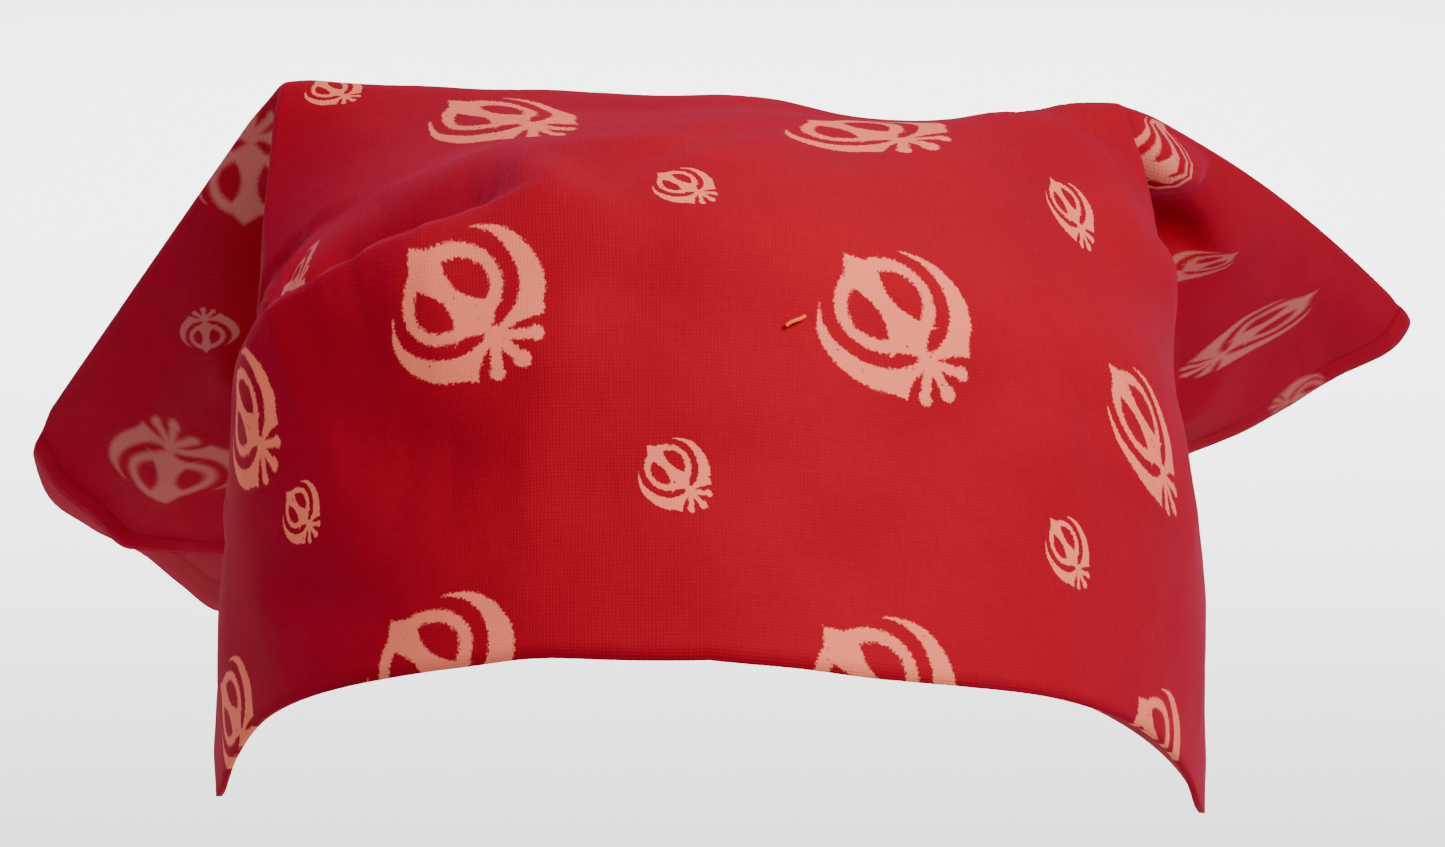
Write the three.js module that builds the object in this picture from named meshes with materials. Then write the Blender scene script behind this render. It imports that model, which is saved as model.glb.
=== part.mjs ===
// A rumal head wrap, folded and tied as it is worn: one square of printed cotton, laid corner to corner
// over the head with its fold at the brow and its two ends tied at the nape.
// Millimetres, +X to the wearer's left as seen from the front, +Y to the back of the head, +Z up.
// The origin is the middle of the head opening, level with the middle of the brow edge.
import * as THREE from 'three';

// Driving sizes, in millimetres
const leftHalfWidth = 82;       // centre line to the left side of the band
const rightHalfWidth = 82.6;    // centre line to the right side of the band
const bandHalfDepth = 100;      // centre of the opening to the brow, and to the nape
const crownHeight = 66;         // brow edge up to the roof line
const napeDrop = 60;            // how far the lower edge falls from the brow to the nape
const browTilt = 1;             // how much lower the brow edge runs on the right than on the left
const wall = 1.5;               // folded cloth, two layers
const hemWidth = 7;             // the turned and stitched edge of the square
const hemThickening = 0.7;      // what the turned edge adds to the wall
const leftWingReach = 132.5;    // centre line to the tip of the left wing
const rightWingReach = 136.2;   // centre line to the tip of the right wing
const wingSetback = 0.95 * bandHalfDepth;   // centre of the opening back to both wing tips
const leftTipDrop = 18.6;       // tip of the left wing below the brow edge
const rightTipRise = 5.4;       // tip of the right wing above the brow edge
const rightWingBow = 3.8;       // how far the right wing's ridge stands above a straight line
const leftWingBow = 0.2;        // the same of the left wing
const fallSetback = 1.12 * bandHalfDepth;   // centre of the opening back to the hanging corner
const fallDrop = 58;            // the hanging corner's hem below the brow edge
const knotHalfWidth = 11;
const knotHalfDepth = 6.2;
const knotHalfHeight = 8.5;
const tieLength = 56;           // the free ends, from the knot to their corners
const tieWidth = 14;
const tieWall = 2.4;
const pieceGap = 0.3;           // between neighbouring pieces
const borderGap = 0.7 * pieceGap;   // how far each of two bordering pieces of cloth stands back
const creaseGap = 2 * pieceGap;     // the same where they meet in a sharp crease, beyond the ears

// Where the pieces divide, as angles round the head from the middle of the brow
const earAngle = 65;            // the corners of the roof, where the wings' ridges start
const fallAngle = 46;           // the fall of the back runs between these angles
const endAngle = 172;           // the cloth runs into the knot
const kneeAngle = 84;           // the wings' hems come close to the sides of the band

const clothColour = new THREE.MeshStandardMaterial({ color: 0xb01c26, roughness: 0.9, metalness: 0 });
const wingColour = new THREE.MeshStandardMaterial({ color: 0x9c1a24, roughness: 0.9, metalness: 0 });
const backColour = new THREE.MeshStandardMaterial({ color: 0xa81b26, roughness: 0.9, metalness: 0 });
const knotColour = new THREE.MeshStandardMaterial({ color: 0x96182a, roughness: 0.9, metalness: 0 });

// Shares are of the half width of that side, the half depth of the band, and the crown height
const ROOF_LINE = [
  { angle: -65, across: -0.836, back: 0.000, up: 0.992 },
  { angle: -48, across: -0.622, back: -0.08, up: 0.992 },
  { angle: -25, across: -0.341, back: -0.18, up: 1.003 },
  { angle: 0, across: 0.000, back: -0.22, up: 0.998 },
  { angle: 25, across: 0.347, back: -0.18, up: 0.930 },
  { angle: 44, across: 0.570, back: -0.10, up: 0.920 },
  { angle: 55, across: 0.690, back: -0.05, up: 0.938 },
  { angle: 65, across: 0.802, back: 0.000, up: 0.932 },
];
const LEFT_VALLEY = [
  { angle: -150, across: -0.440, back: 0.870, up: -0.450 },
  { angle: -125, across: -0.730, back: 0.620, up: -0.120 },
  { angle: -100, across: -0.890, back: 0.320, up: 0.120 },
  { angle: -82, across: -0.885, back: 0.120, up: 0.360 },
  { angle: -72, across: -0.850, back: 0.040, up: 0.660 },
  { angle: -65, across: -0.836, back: 0.000, up: 0.992 },
];
const RIGHT_VALLEY = [
  { angle: 65, across: 0.802, back: 0.000, up: 0.932 },
  { angle: 72, across: 0.845, back: 0.060, up: 0.660 },
  { angle: 82, across: 0.875, back: 0.150, up: 0.380 },
  { angle: 100, across: 0.905, back: 0.340, up: 0.120 },
  { angle: 125, across: 0.750, back: 0.620, up: -0.120 },
  { angle: 150, across: 0.450, back: 0.870, up: -0.450 },
];
// The lower edge: its drop as a share of the nape's drop
const LOWER_EDGE = [
  { angle: 0, left: 0.000, right: 0.000 },
  { angle: 8, left: 0.008, right: 0.022 },
  { angle: 15, left: 0.018, right: 0.056 },
  { angle: 25, left: 0.077, right: 0.108 },
  { angle: 35, left: 0.158, right: 0.178 },
  { angle: 45, left: 0.263, right: 0.284 },
  { angle: 55, left: 0.403, right: 0.430 },
  { angle: 65, left: 0.605, right: 0.624 },
  { angle: 72, left: 0.765, right: 0.778 },
  { angle: 80, left: 0.865, right: 0.870 },
  { angle: 90, left: 0.920, right: 0.920 },
  { angle: 120, left: 0.960, right: 0.960 },
  { angle: 150, left: 1.000, right: 1.000 },
  { angle: 172, left: 0.970, right: 0.970 },
];
// The hems: across as a share of that wing's reach, back as a share of the wings' setback,
// rise as a share of the fall's drop
const LEFT_FRONT_HEM = [
  { angle: -145, across: -0.310, back: 1.000, rise: -0.840 },
  { angle: -115, across: -0.550, back: 0.920, rise: -0.720 },
  { angle: -92, across: -0.727, back: 0.926, rise: -0.680 },
  { angle: -84, across: -0.796, back: 0.960, rise: -0.690 },
  { angle: -77, across: -0.859, back: 0.980, rise: -0.682 },
  { angle: -71, across: -0.918, back: 1.000, rise: -0.572 },
  { angle: -67, across: -0.975, back: 1.000, rise: -0.453 },
];
const RIGHT_FRONT_HEM = [
  { angle: 68, across: 0.977, back: 1.000, rise: 0.014 },
  { angle: 73, across: 0.898, back: 1.000, rise: -0.079 },
  { angle: 80, across: 0.829, back: 0.985, rise: -0.182 },
  { angle: 87, across: 0.757, back: 0.965, rise: -0.270 },
  { angle: 95, across: 0.664, back: 0.945, rise: -0.350 },
  { angle: 118, across: 0.500, back: 0.950, rise: -0.520 },
  { angle: 145, across: 0.290, back: 1.010, rise: -0.740 },
];
const LEFT_BACK_HEM = [
  { angle: -62, across: -0.985, back: 1.030, rise: -0.510 },
  { angle: -57, across: -0.924, back: 1.040, rise: -0.636 },
  { angle: -51, across: -0.850, back: 1.070, rise: -0.740 },
  { angle: -47, across: -0.795, back: 1.090, rise: -0.860 },
  { angle: -43, across: -0.740, back: 1.110, rise: -0.960 },
  { angle: -22, across: -0.370, back: 1.175, rise: -1.030 },
];
const RIGHT_BACK_HEM = [
  { angle: 15, across: 0.220, back: 1.179, rise: -1.010 },
  { angle: 28, across: 0.425, back: 1.168, rise: -0.900 },
  { angle: 40, across: 0.617, back: 1.145, rise: -0.560 },
  { angle: 50, across: 0.764, back: 1.090, rise: -0.200 },
  { angle: 58, across: 0.896, back: 1.040, rise: 0.000 },
];
// How the fall goes back and down over the head at its middle: shares of the way back and of the way down
const FALL = [
  { step: 0, back: 0.000, down: 0.000 },
  { step: 1, back: 0.164, down: 0.028 },
  { step: 2, back: 0.320, down: 0.075 },
  { step: 3, back: 0.500, down: 0.155 },
  { step: 4, back: 0.680, down: 0.270 },
  { step: 5, back: 0.830, down: 0.410 },
  { step: 6, back: 0.935, down: 0.580 },
  { step: 7, back: 0.990, down: 0.790 },
  { step: 8, back: 1.000, down: 1.000 },
];
// How a section of the front climbs from the lower edge to the roof line, at the middle and both sides:
// shares of the way in and of the way up
const CLIMB = [
  { step: 0, middleIn: 0.000, middleUp: 0.000, leftIn: 0.000, leftUp: 0.000, rightIn: 0.000, rightUp: 0.000 },
  { step: 1, middleIn: 0.080, middleUp: 0.370, leftIn: 0.020, leftUp: 0.200, rightIn: 0.020, rightUp: 0.200 },
  { step: 2, middleIn: 0.150, middleUp: 0.715, leftIn: 0.040, leftUp: 0.420, rightIn: 0.050, rightUp: 0.420 },
  { step: 3, middleIn: 0.210, middleUp: 0.855, leftIn: 0.100, leftUp: 0.600, rightIn: 0.120, rightUp: 0.600 },
  { step: 4, middleIn: 0.320, middleUp: 0.930, leftIn: 0.250, leftUp: 0.700, rightIn: 0.280, rightUp: 0.740 },
  { step: 5, middleIn: 0.530, middleUp: 0.978, leftIn: 0.500, leftUp: 0.800, rightIn: 0.520, rightUp: 0.860 },
  { step: 6, middleIn: 0.780, middleUp: 1.010, leftIn: 0.760, leftUp: 0.910, rightIn: 0.780, rightUp: 0.960 },
  { step: 7, middleIn: 1.000, middleUp: 1.000, leftIn: 1.000, leftUp: 1.000, rightIn: 1.000, rightUp: 1.000 },
];
// Folds and dents of the front: a line on the cloth from angle and climb to angle and climb, how far the
// cloth stands out along it as a share of the crown height, and how wide it is above and below the line
const FOLDS = [
  { fold: 'pleat at the temple', angle: -62, climb: 0.49, toAngle: -50, toClimb: 0.60, out: 0.020, above: 0.06, below: 0.12 },
  { fold: 'hollow of the left facet', angle: -67, climb: 0.86, toAngle: -66, toClimb: 0.56, out: -0.060, above: 0.12, below: 0.09 },
  { fold: 'hollow at the left temple', angle: -66, climb: 0.54, toAngle: -74, toClimb: 0.38, out: -0.052, above: 0.08, below: 0.12 },
  { fold: 'pleat over the brow', angle: -52, climb: 0.60, toAngle: -22, toClimb: 0.70, out: 0.036, above: 0.07, below: 0.20 },
  { fold: 'valley over the pleat', angle: -60, climb: 0.70, toAngle: -20, toClimb: 0.80, out: -0.045, above: 0.14, below: 0.10 },
  { fold: 'peak at the pleat end', angle: -18, climb: 0.74, toAngle: -8, toClimb: 0.66, out: 0.025, above: 0.14, below: 0.20 },
  { fold: 'dent on the roof', angle: -12, climb: 0.86, toAngle: 6, toClimb: 0.92, out: -0.022, above: 0.12, below: 0.12 },
  { fold: 'ridge on the right', angle: 12, climb: 0.70, toAngle: 50, toClimb: 0.93, out: 0.035, above: 0.16, below: 0.22 },
  { fold: 'hollow by the right ear', angle: 62, climb: 0.88, toAngle: 68, toClimb: 0.72, out: -0.062, above: 0.12, below: 0.07 },
  { fold: 'shoulder under the right ear', angle: 56, climb: 0.66, toAngle: 63, toClimb: 0.62, out: 0.036, above: 0.07, below: 0.07 },
  { fold: 'dent at the right temple', angle: 68, climb: 0.50, toAngle: 80, toClimb: 0.46, out: -0.062, above: 0.14, below: 0.11 },
  { fold: 'dent at the left brow', angle: -38, climb: 0.30, toAngle: -24, toClimb: 0.34, out: -0.020, above: 0.16, below: 0.16 },
  { fold: 'dent at the right brow', angle: 20, climb: 0.26, toAngle: 38, toClimb: 0.32, out: -0.020, above: 0.16, below: 0.16 },
];
// Folds of the wings and the fall, in the same way, with the spread from the roof line or valley to the hem
const BACK_FOLDS = [
  { fold: 'hang beside the left wing', angle: -36, spread: 0.30, toAngle: -30, toSpread: 1.00, out: -0.07, wide: 9 },
  { fold: 'hang beside the right wing', angle: 36, spread: 0.30, toAngle: 30, toSpread: 1.00, out: -0.07, wide: 9 },
  { fold: 'ridge left of the middle', angle: -18, spread: 0.55, toAngle: -14, toSpread: 1.00, out: 0.05, wide: 7 },
  { fold: 'ridge right of the middle', angle: 12, spread: 0.50, toAngle: 16, toSpread: 1.00, out: 0.05, wide: 7 },
  { fold: 'soft fold of the left wing', angle: -78, spread: 0.25, toAngle: -74, toSpread: 0.72, out: 0.04, wide: 6 },
  { fold: 'soft fold of the right wing', angle: 76, spread: 0.20, toAngle: 79, toSpread: 0.72, out: -0.06, wide: 6 },
  { fold: 'gather by the left of the knot', angle: -150, spread: 0.00, toAngle: -160, toSpread: 1.00, out: -0.02, wide: 8 },
  { fold: 'gather by the right of the knot', angle: 150, spread: 0.00, toAngle: 160, toSpread: 1.00, out: -0.02, wide: 8 },
];

const radians = THREE.MathUtils.degToRad;
const halfWidth = (across) => (across < 0 ? leftHalfWidth : rightHalfWidth);
const wingReach = (across) => (across < 0 ? leftWingReach : rightWingReach);

// A smooth curve through the rows of a table, by one column that grows from row to row
function curveThrough(rows, by, columns) {
  const at = rows.map((row) => row[by]);
  const slopes = columns.map((column) => {
    const values = rows.map((row) => row[column]);
    const steps = values.slice(1).map((value, i) => (value - values[i]) / (at[i + 1] - at[i]));
    return values.map((_, i) => {
      if (i === 0) return steps[0];
      if (i === values.length - 1) return steps[i - 1];
      return steps[i - 1] * steps[i] <= 0 ? 0 : (2 * steps[i - 1] * steps[i]) / (steps[i - 1] + steps[i]);
    });
  });
  return (where) => {
    const place = THREE.MathUtils.clamp(where, at[0], at[at.length - 1]);
    let i = 0;
    while (i < at.length - 2 && place > at[i + 1]) i += 1;
    const span = at[i + 1] - at[i];
    const t = (place - at[i]) / span;
    return columns.map((column, c) => {
      const [a, b] = [rows[i][column], rows[i + 1][column]];
      const [ma, mb] = [slopes[c][i] * span, slopes[c][i + 1] * span];
      return a + t * ma + t * t * (3 * (b - a) - 2 * ma - mb) + t * t * t * (2 * (a - b) + ma + mb);
    });
  };
}

const lineColumns = ['across', 'back', 'up'];
const hemColumns = ['across', 'back', 'rise'];
const leftTip = new THREE.Vector3(-leftWingReach, wingSetback, -leftTipDrop);
const rightTip = new THREE.Vector3(rightWingReach, wingSetback, rightTipRise);
const tipRow = (angle, tip) => (
  { angle, across: tip.x / wingReach(tip.x), back: 1, rise: tip.z / fallDrop }
);
const leftTipRow = tipRow(-earAngle, leftTip);
const rightTipRow = tipRow(earAngle, rightTip);
const middleRow = { angle: 0, across: 0, back: fallSetback / wingSetback, rise: -1 };

// Where the cloth runs into the knot: its ends are gathered to the height of the knot
const knotCentre = new THREE.Vector3(
  0, bandHalfDepth * 1.005, -napeDrop * LOWER_EDGE[LOWER_EDGE.length - 1].left + knotHalfHeight * 0.9);
const clothEnd = knotHalfWidth + 1.6 * pieceGap;
const endTop = knotCentre.z + knotHalfHeight * 0.9;
const valleyEndRow = (side) => ({
  angle: side * endAngle,
  across: (side * clothEnd) / halfWidth(side),
  back: (knotCentre.y - knotHalfDepth * 0.35) / bandHalfDepth,
  up: endTop / crownHeight,
});
const hemEndRow = (side) => ({
  angle: side * endAngle,
  across: (side * clothEnd) / wingReach(side),
  back: (knotCentre.y + knotHalfDepth * 0.6) / wingSetback,
  rise: knotCentre.z / fallDrop,
});

const roofCurve = curveThrough(ROOF_LINE, 'angle', lineColumns);
const leftValleyCurve = curveThrough([valleyEndRow(-1), ...LEFT_VALLEY], 'angle', lineColumns);
const rightValleyCurve = curveThrough([...RIGHT_VALLEY, valleyEndRow(1)], 'angle', lineColumns);
const leftFrontHemCurve = curveThrough(
  [hemEndRow(-1), ...LEFT_FRONT_HEM, leftTipRow], 'angle', hemColumns);
const rightFrontHemCurve = curveThrough(
  [rightTipRow, ...RIGHT_FRONT_HEM, hemEndRow(1)], 'angle', hemColumns);
const backHemCurve = curveThrough(
  [leftTipRow, ...LEFT_BACK_HEM, middleRow, ...RIGHT_BACK_HEM, rightTipRow], 'angle', hemColumns);
const dropCurve = curveThrough(LOWER_EDGE, 'angle', ['left', 'right']);
const fallCurve = curveThrough(FALL, 'step', ['back', 'down']);
const climbCurve = curveThrough(
  CLIMB, 'step', ['middleIn', 'middleUp', 'leftIn', 'leftUp', 'rightIn', 'rightUp']);

// The lower edge of the band, at an angle round the head
function lowerEdge(angle) {
  const turn = radians(angle);
  const across = Math.sin(turn);
  const [left, right] = dropCurve(Math.abs(angle));
  const drop = angle < 0 ? left : right;
  return new THREE.Vector3(
    halfWidth(across) * across, -bandHalfDepth * Math.cos(turn), -drop * napeDrop - browTilt * across);
}

// The roof line between the ears, and the valley behind them where a wing leaves the band
function upperLine(angle) {
  let curve = roofCurve;
  if (angle < -earAngle) curve = leftValleyCurve;
  if (angle > earAngle) curve = rightValleyCurve;
  const [across, back, up] = curve(angle);
  return new THREE.Vector3(across * halfWidth(across), back * bandHalfDepth, up * crownHeight);
}

// The open edge of the cloth: the back hem between the wing tips, and the front hems beyond them
function hemLine(angle) {
  let curve = backHemCurve;
  if (angle < -earAngle) curve = leftFrontHemCurve;
  if (angle > earAngle) curve = rightFrontHemCurve;
  const [across, back, rise] = curve(angle);
  return new THREE.Vector3(across * wingReach(across), back * wingSetback, rise * fallDrop);
}

// How strongly a fold acts at a place, between 0 and 1: from its line on the cloth and how far it
// spreads above and below that line. A place is an angle and a height; one height weighs as much as
// a quarter turn.
const quarterTurn = 90;
function foldStrength(place, from, to, above, below) {
  const [p, a, b] = [place, from, to].map(([angle, height]) => new THREE.Vector2(angle / quarterTurn, height));
  const along = b.clone().sub(a);
  const t = THREE.MathUtils.clamp(p.clone().sub(a).dot(along) / along.lengthSq(), 0, 1);
  const foot = a.clone().addScaledVector(along, t);
  return Math.exp(-((p.distanceTo(foot) / (p.y >= foot.y ? above : below)) ** 2));
}

// A point between two others, with one share of the level way and another of the upright way
function between(from, to, level, upright) {
  const point = from.clone().lerp(to, level);
  point.z = THREE.MathUtils.lerp(from.z, to.z, upright);
  return point;
}

// The front, sides and roof: a point at an angle round the head and a climb from 0, edge, to 1, roof line
function crownPoint(angle, climb) {
  const from = lowerEdge(angle);
  const to = upperLine(angle);
  const [middleIn, middleUp, leftIn, leftUp, rightIn, rightUp] = climbCurve(climb * (CLIMB.length - 1));
  const side = THREE.MathUtils.smoothstep(Math.abs(angle), 0, earAngle);
  const inward = THREE.MathUtils.lerp(middleIn, angle < 0 ? leftIn : rightIn, side);
  const upward = THREE.MathUtils.lerp(middleUp, angle < 0 ? leftUp : rightUp, side);
  const plain = THREE.MathUtils.smoothstep(Math.abs(angle), earAngle + 5, earAngle + 40);
  const point = between(
    from, to, THREE.MathUtils.lerp(inward, climb, plain), THREE.MathUtils.lerp(upward, climb, plain));
  const turn = radians(angle);
  const lift = THREE.MathUtils.smoothstep(climb, 0.55, 0.8) * (1 - plain);
  const out = new THREE.Vector3(
    Math.sin(turn) * (1 - lift), -Math.cos(turn) * (1 - 0.7 * lift), lift).normalize();
  const amount = FOLDS.reduce((sum, fold) => sum + fold.out * foldStrength(
    [angle, climb], [fold.angle, fold.climb], [fold.toAngle, fold.toClimb], fold.above, fold.below), 0);
  const fade = THREE.MathUtils.smoothstep(climb, 0, 0.12) * (1 - THREE.MathUtils.smoothstep(climb, 0.9, 1));
  return point.addScaledVector(out, amount * fade * crownHeight);
}

// The wings and the fall: a point at an angle and a spread from 0, roof line or valley, to 1, hem
function backPoint(angle, place) {
  const spread = Math.min(place, 1);
  const from = upperLine(angle);
  const to = hemLine(angle);
  const point = from.clone().lerp(to, spread);
  const share = Math.abs(angle) / earAngle;
  if (share < 1) {
    const [back, down] = fallCurve(spread * (FALL.length - 1));
    const full = Math.cos((share * Math.PI) / 2) ** 1.2;
    point.copy(between(
      from, to, THREE.MathUtils.lerp(spread, back, full), THREE.MathUtils.lerp(spread, down, full)));
  }
  const bow = (angle < 0 ? leftWingBow : rightWingBow) * Math.exp(-(((share - 1) / 0.25) ** 2));
  point.z += bow * Math.sin(Math.PI * spread);
  const amount = BACK_FOLDS.reduce((sum, fold) => sum + fold.out * foldStrength(
    [angle, spread / 2], [fold.angle, fold.spread / 2], [fold.toAngle, fold.toSpread / 2],
    fold.wide / quarterTurn, fold.wide / quarterTurn), 0);
  const behind = Math.abs(angle) < earAngle;
  const outward = behind ? new THREE.Vector3(0, 0.9, 0.45) : new THREE.Vector3(0, -0.8, -0.6);
  const fade = THREE.MathUtils.smoothstep(spread, 0, 0.25);
  return point.addScaledVector(outward, amount * fade * crownHeight);
}

// The whole cloth: a point at an angle round the head and a height, 0 at the lower edge of the band,
// 1 at the roof line or valley, 2 at the hems
function clothPoint(angle, height) {
  return height <= 1 ? crownPoint(angle, height) : backPoint(angle, height - 1);
}

// Which way the printed side of the cloth faces
function clothNormal(angle, height) {
  const turn = 0.5;
  const step = 0.01;
  const here = clothPoint(angle, height);
  const through = (before, after) => (
    here.clone().sub(before).normalize().add(after.clone().sub(here).normalize()));
  const round = through(clothPoint(angle - turn, height), clothPoint(angle + turn, height));
  const climb = through(clothPoint(angle, height - step), clothPoint(angle, height + step));
  return round.cross(climb).normalize();
}

// A closed sheet of cloth over rows of angles and of heights, with its thickness on the inside.
// The borders named in joins lie next to another piece, and stand back from it along the cloth.
function clothSheet(angles, heights, joins, thicknessAt) {
  const columns = angles.length;
  const rows = heights.length;
  const outer = angles.map((angle) => heights.map((height) => clothPoint(angle, height)));
  const inner = outer.map((line, i) => line.map((point, j) => (
    point.clone().addScaledVector(clothNormal(angles[i], heights[j]), -thicknessAt(angles[i], heights[j])))));
  const standBack = (i, j, nextColumn, nextRow) => {
    const gap = Math.abs(angles[i]) < earAngle - 5 ? borderGap : creaseGap;
    const way = outer[i + nextColumn][j + nextRow].clone().sub(outer[i][j]).setLength(gap);
    outer[i][j].add(way);
    inner[i][j].add(way);
  };
  for (let i = 0; i < columns; i += 1) {
    if (joins.foot) standBack(i, 0, 0, 1);
    if (joins.head) standBack(i, rows - 1, 0, -1);
  }
  for (let j = 0; j < rows; j += 1) {
    if (joins.start) standBack(0, j, 1, 0);
    if (joins.end) standBack(columns - 1, j, -1, 0);
  }
  const vertices = [...outer.flat(), ...inner.flat()];
  const index = (layer, i, j) => layer * columns * rows + i * rows + j;
  const faces = [];
  const quad = (a, b, c, d) => faces.push(a, b, c, a, c, d);
  for (let i = 0; i < columns - 1; i += 1) {
    for (let j = 0; j < rows - 1; j += 1) {
      quad(index(0, i, j), index(0, i + 1, j), index(0, i + 1, j + 1), index(0, i, j + 1));
      quad(index(1, i, j), index(1, i, j + 1), index(1, i + 1, j + 1), index(1, i + 1, j));
    }
    quad(index(0, i, 0), index(1, i, 0), index(1, i + 1, 0), index(0, i + 1, 0));
    quad(index(0, i, rows - 1), index(0, i + 1, rows - 1), index(1, i + 1, rows - 1), index(1, i, rows - 1));
  }
  for (let j = 0; j < rows - 1; j += 1) {
    quad(index(0, 0, j), index(0, 0, j + 1), index(1, 0, j + 1), index(1, 0, j));
    quad(index(0, columns - 1, j), index(1, columns - 1, j), index(1, columns - 1, j + 1), index(0, columns - 1, j + 1));
  }
  const geometry = new THREE.BufferGeometry();
  geometry.setAttribute('position', new THREE.Float32BufferAttribute(vertices.flatMap((v) => v.toArray()), 3));
  geometry.setIndex(faces);
  return geometry;
}

const evenly = (from, to, count) => (
  Array.from({ length: count + 1 }, (_, i) => from + ((to - from) * i) / count)
);
const chain = (...parts) => parts.flatMap((part, i) => (i === 0 ? part : part.slice(1)));

// The hem is thicker for its own width, measured from the open edge along the cloth
function backHeights(angle, count) {
  const hemShare = hemWidth / upperLine(angle).distanceTo(hemLine(angle));
  return [...evenly(1, 2 - hemShare, count), 2];
}
const backThickness = (angle, height) => wall + (height === 2 ? hemThickening : 0);

const named = (name, geometry, material) => {
  const mesh = new THREE.Mesh(geometry, material);
  mesh.name = name;
  return mesh;
};

// The angles that the pieces share, so that their borders follow the same line
const shoulder = (side) => evenly(side * fallAngle, side * earAngle, 4);
const beside = (side) => evenly(side * earAngle, side * kneeAngle, 5);
const round = (side) => evenly(side * kneeAngle, side * endAngle, 9);
const middle = evenly(-fallAngle, fallAngle, 18);
const outward = (side) => chain(shoulder(side), beside(side), round(side));

function makeCrown() {
  const angles = chain(outward(-1).reverse(), middle, outward(1));
  const climbs = evenly(0, 1, 14);
  return named('crown', clothSheet(angles, climbs, { head: true }, () => wall), clothColour);
}

function makeWing(name, side) {
  const angles = side < 0 ? outward(side).reverse() : outward(side);
  const joins = { foot: true, start: side > 0, end: side < 0 };
  const heights = backHeights(side * earAngle, 10);
  return named(name, clothSheet(angles, heights, joins, backThickness), wingColour);
}

function makeBackFall() {
  const heights = backHeights(0, 14);
  const joins = { foot: true, start: true, end: true };
  return named('back_fall', clothSheet(middle, heights, joins, backThickness), backColour);
}

// A closed body through rings of points, with a flat fan at both ends
function ringSolid(rings) {
  const sides = rings[0].length;
  const centre = (ring) => ring.reduce((sum, p) => sum.add(p), new THREE.Vector3()).divideScalar(sides);
  const vertices = [...rings.flat(), centre(rings[0]), centre(rings[rings.length - 1])];
  const first = rings.length * sides;
  const faces = [];
  for (let i = 0; i < sides; i += 1) {
    const next = (i + 1) % sides;
    for (let r = 0; r < rings.length - 1; r += 1) {
      const [a, b] = [r * sides + i, r * sides + next];
      faces.push(a, b, b + sides, a, b + sides, a + sides);
    }
    const last = (rings.length - 1) * sides;
    faces.push(first, next, i, first + 1, last + i, last + next);
  }
  const geometry = new THREE.BufferGeometry();
  geometry.setAttribute('position', new THREE.Float32BufferAttribute(vertices.flatMap((v) => v.toArray()), 3));
  geometry.setIndex(faces);
  return geometry;
}

// The knot: a lump with a waist at both ends, wound round with the folds of the crossed ends
function makeKnot() {
  const sides = 20;
  const lobes = 3;
  const rings = evenly(-1, 1, 14).map((place) => {
    const girth = 0.42 + 0.58 * Math.cos((place * Math.PI) / 2) ** 0.6;
    const wound = place * 1.6;
    return Array.from({ length: sides }, (_, i) => {
      const turn = (2 * Math.PI * i) / sides;
      const size = girth * (1 - 0.07 * (1 + Math.sin(lobes * turn + wound)));
      return new THREE.Vector3(
        place * knotHalfWidth, size * knotHalfDepth * Math.cos(turn), size * knotHalfHeight * Math.sin(turn));
    });
  });
  const mesh = named('knot', ringSolid(rings), knotColour);
  mesh.position.copy(knotCentre);
  return mesh;
}

// A free end: a flat tapering tail that leaves the knot below and turns out sideways
function makeTieEnd(name, side) {
  const start = new THREE.Vector3(side * 0.55 * knotHalfWidth, 0.91 * knotHalfDepth, -0.63 * knotHalfHeight);
  start.add(knotCentre);
  const reach = (across, back, down) => start.clone().add(
    new THREE.Vector3(side * across * tieLength, back * tieLength, -down * tieLength));
  const path = new THREE.CatmullRomCurve3([
    start, reach(0.15, 0.01, 0.04), reach(0.42, 0.015, 0.07), reach(0.72, -0.03, 0.08), reach(0.98, -0.12, 0.09)]);
  const sides = 12;
  const steps = 14;
  const rings = evenly(0, 1, steps).map((place) => {
    const centre = path.getPointAt(place);
    const along = path.getTangentAt(place);
    const flat = new THREE.Vector3(0, 1, 0).addScaledVector(along, -along.y).normalize();
    const upright = along.clone().cross(flat);
    const half = (tieWidth / 2) * Math.min(0.30 + 1.6 * place, 1, 0.16 + 2.6 * (1 - place));
    return Array.from({ length: sides }, (_, i) => {
      const turn = (2 * Math.PI * i) / sides;
      const ripple = 0.5 * tieWall * Math.sin(3 * Math.sin(turn) + 5 * place) * Math.sin(Math.PI * place);
      return centre.clone()
        .addScaledVector(upright, half * Math.sin(turn))
        .addScaledVector(flat, (tieWall / 2) * Math.cos(turn) + ripple);
    });
  });
  return named(name, ringSolid(rings), knotColour);
}

const group = new THREE.Group();
group.add(
  makeCrown(), makeWing('left_wing', -1), makeWing('right_wing', 1), makeBackFall(),
  makeKnot(), makeTieEnd('left_tie_end', -1), makeTieEnd('right_tie_end', 1));

export default group;
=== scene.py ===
"""Dresses the rumal head wrap: one printed cotton cloth, the knot at its nape and the two free ends."""

from __future__ import annotations

import logging
import math
from dataclasses import dataclass, field
from enum import Enum
from typing import Any, Callable, Sequence

import bpy
import numpy as np
from bpy.types import ID, Material, Mesh, Node, NodeSocket, NodeTree, Object
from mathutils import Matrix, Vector, noise

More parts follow.
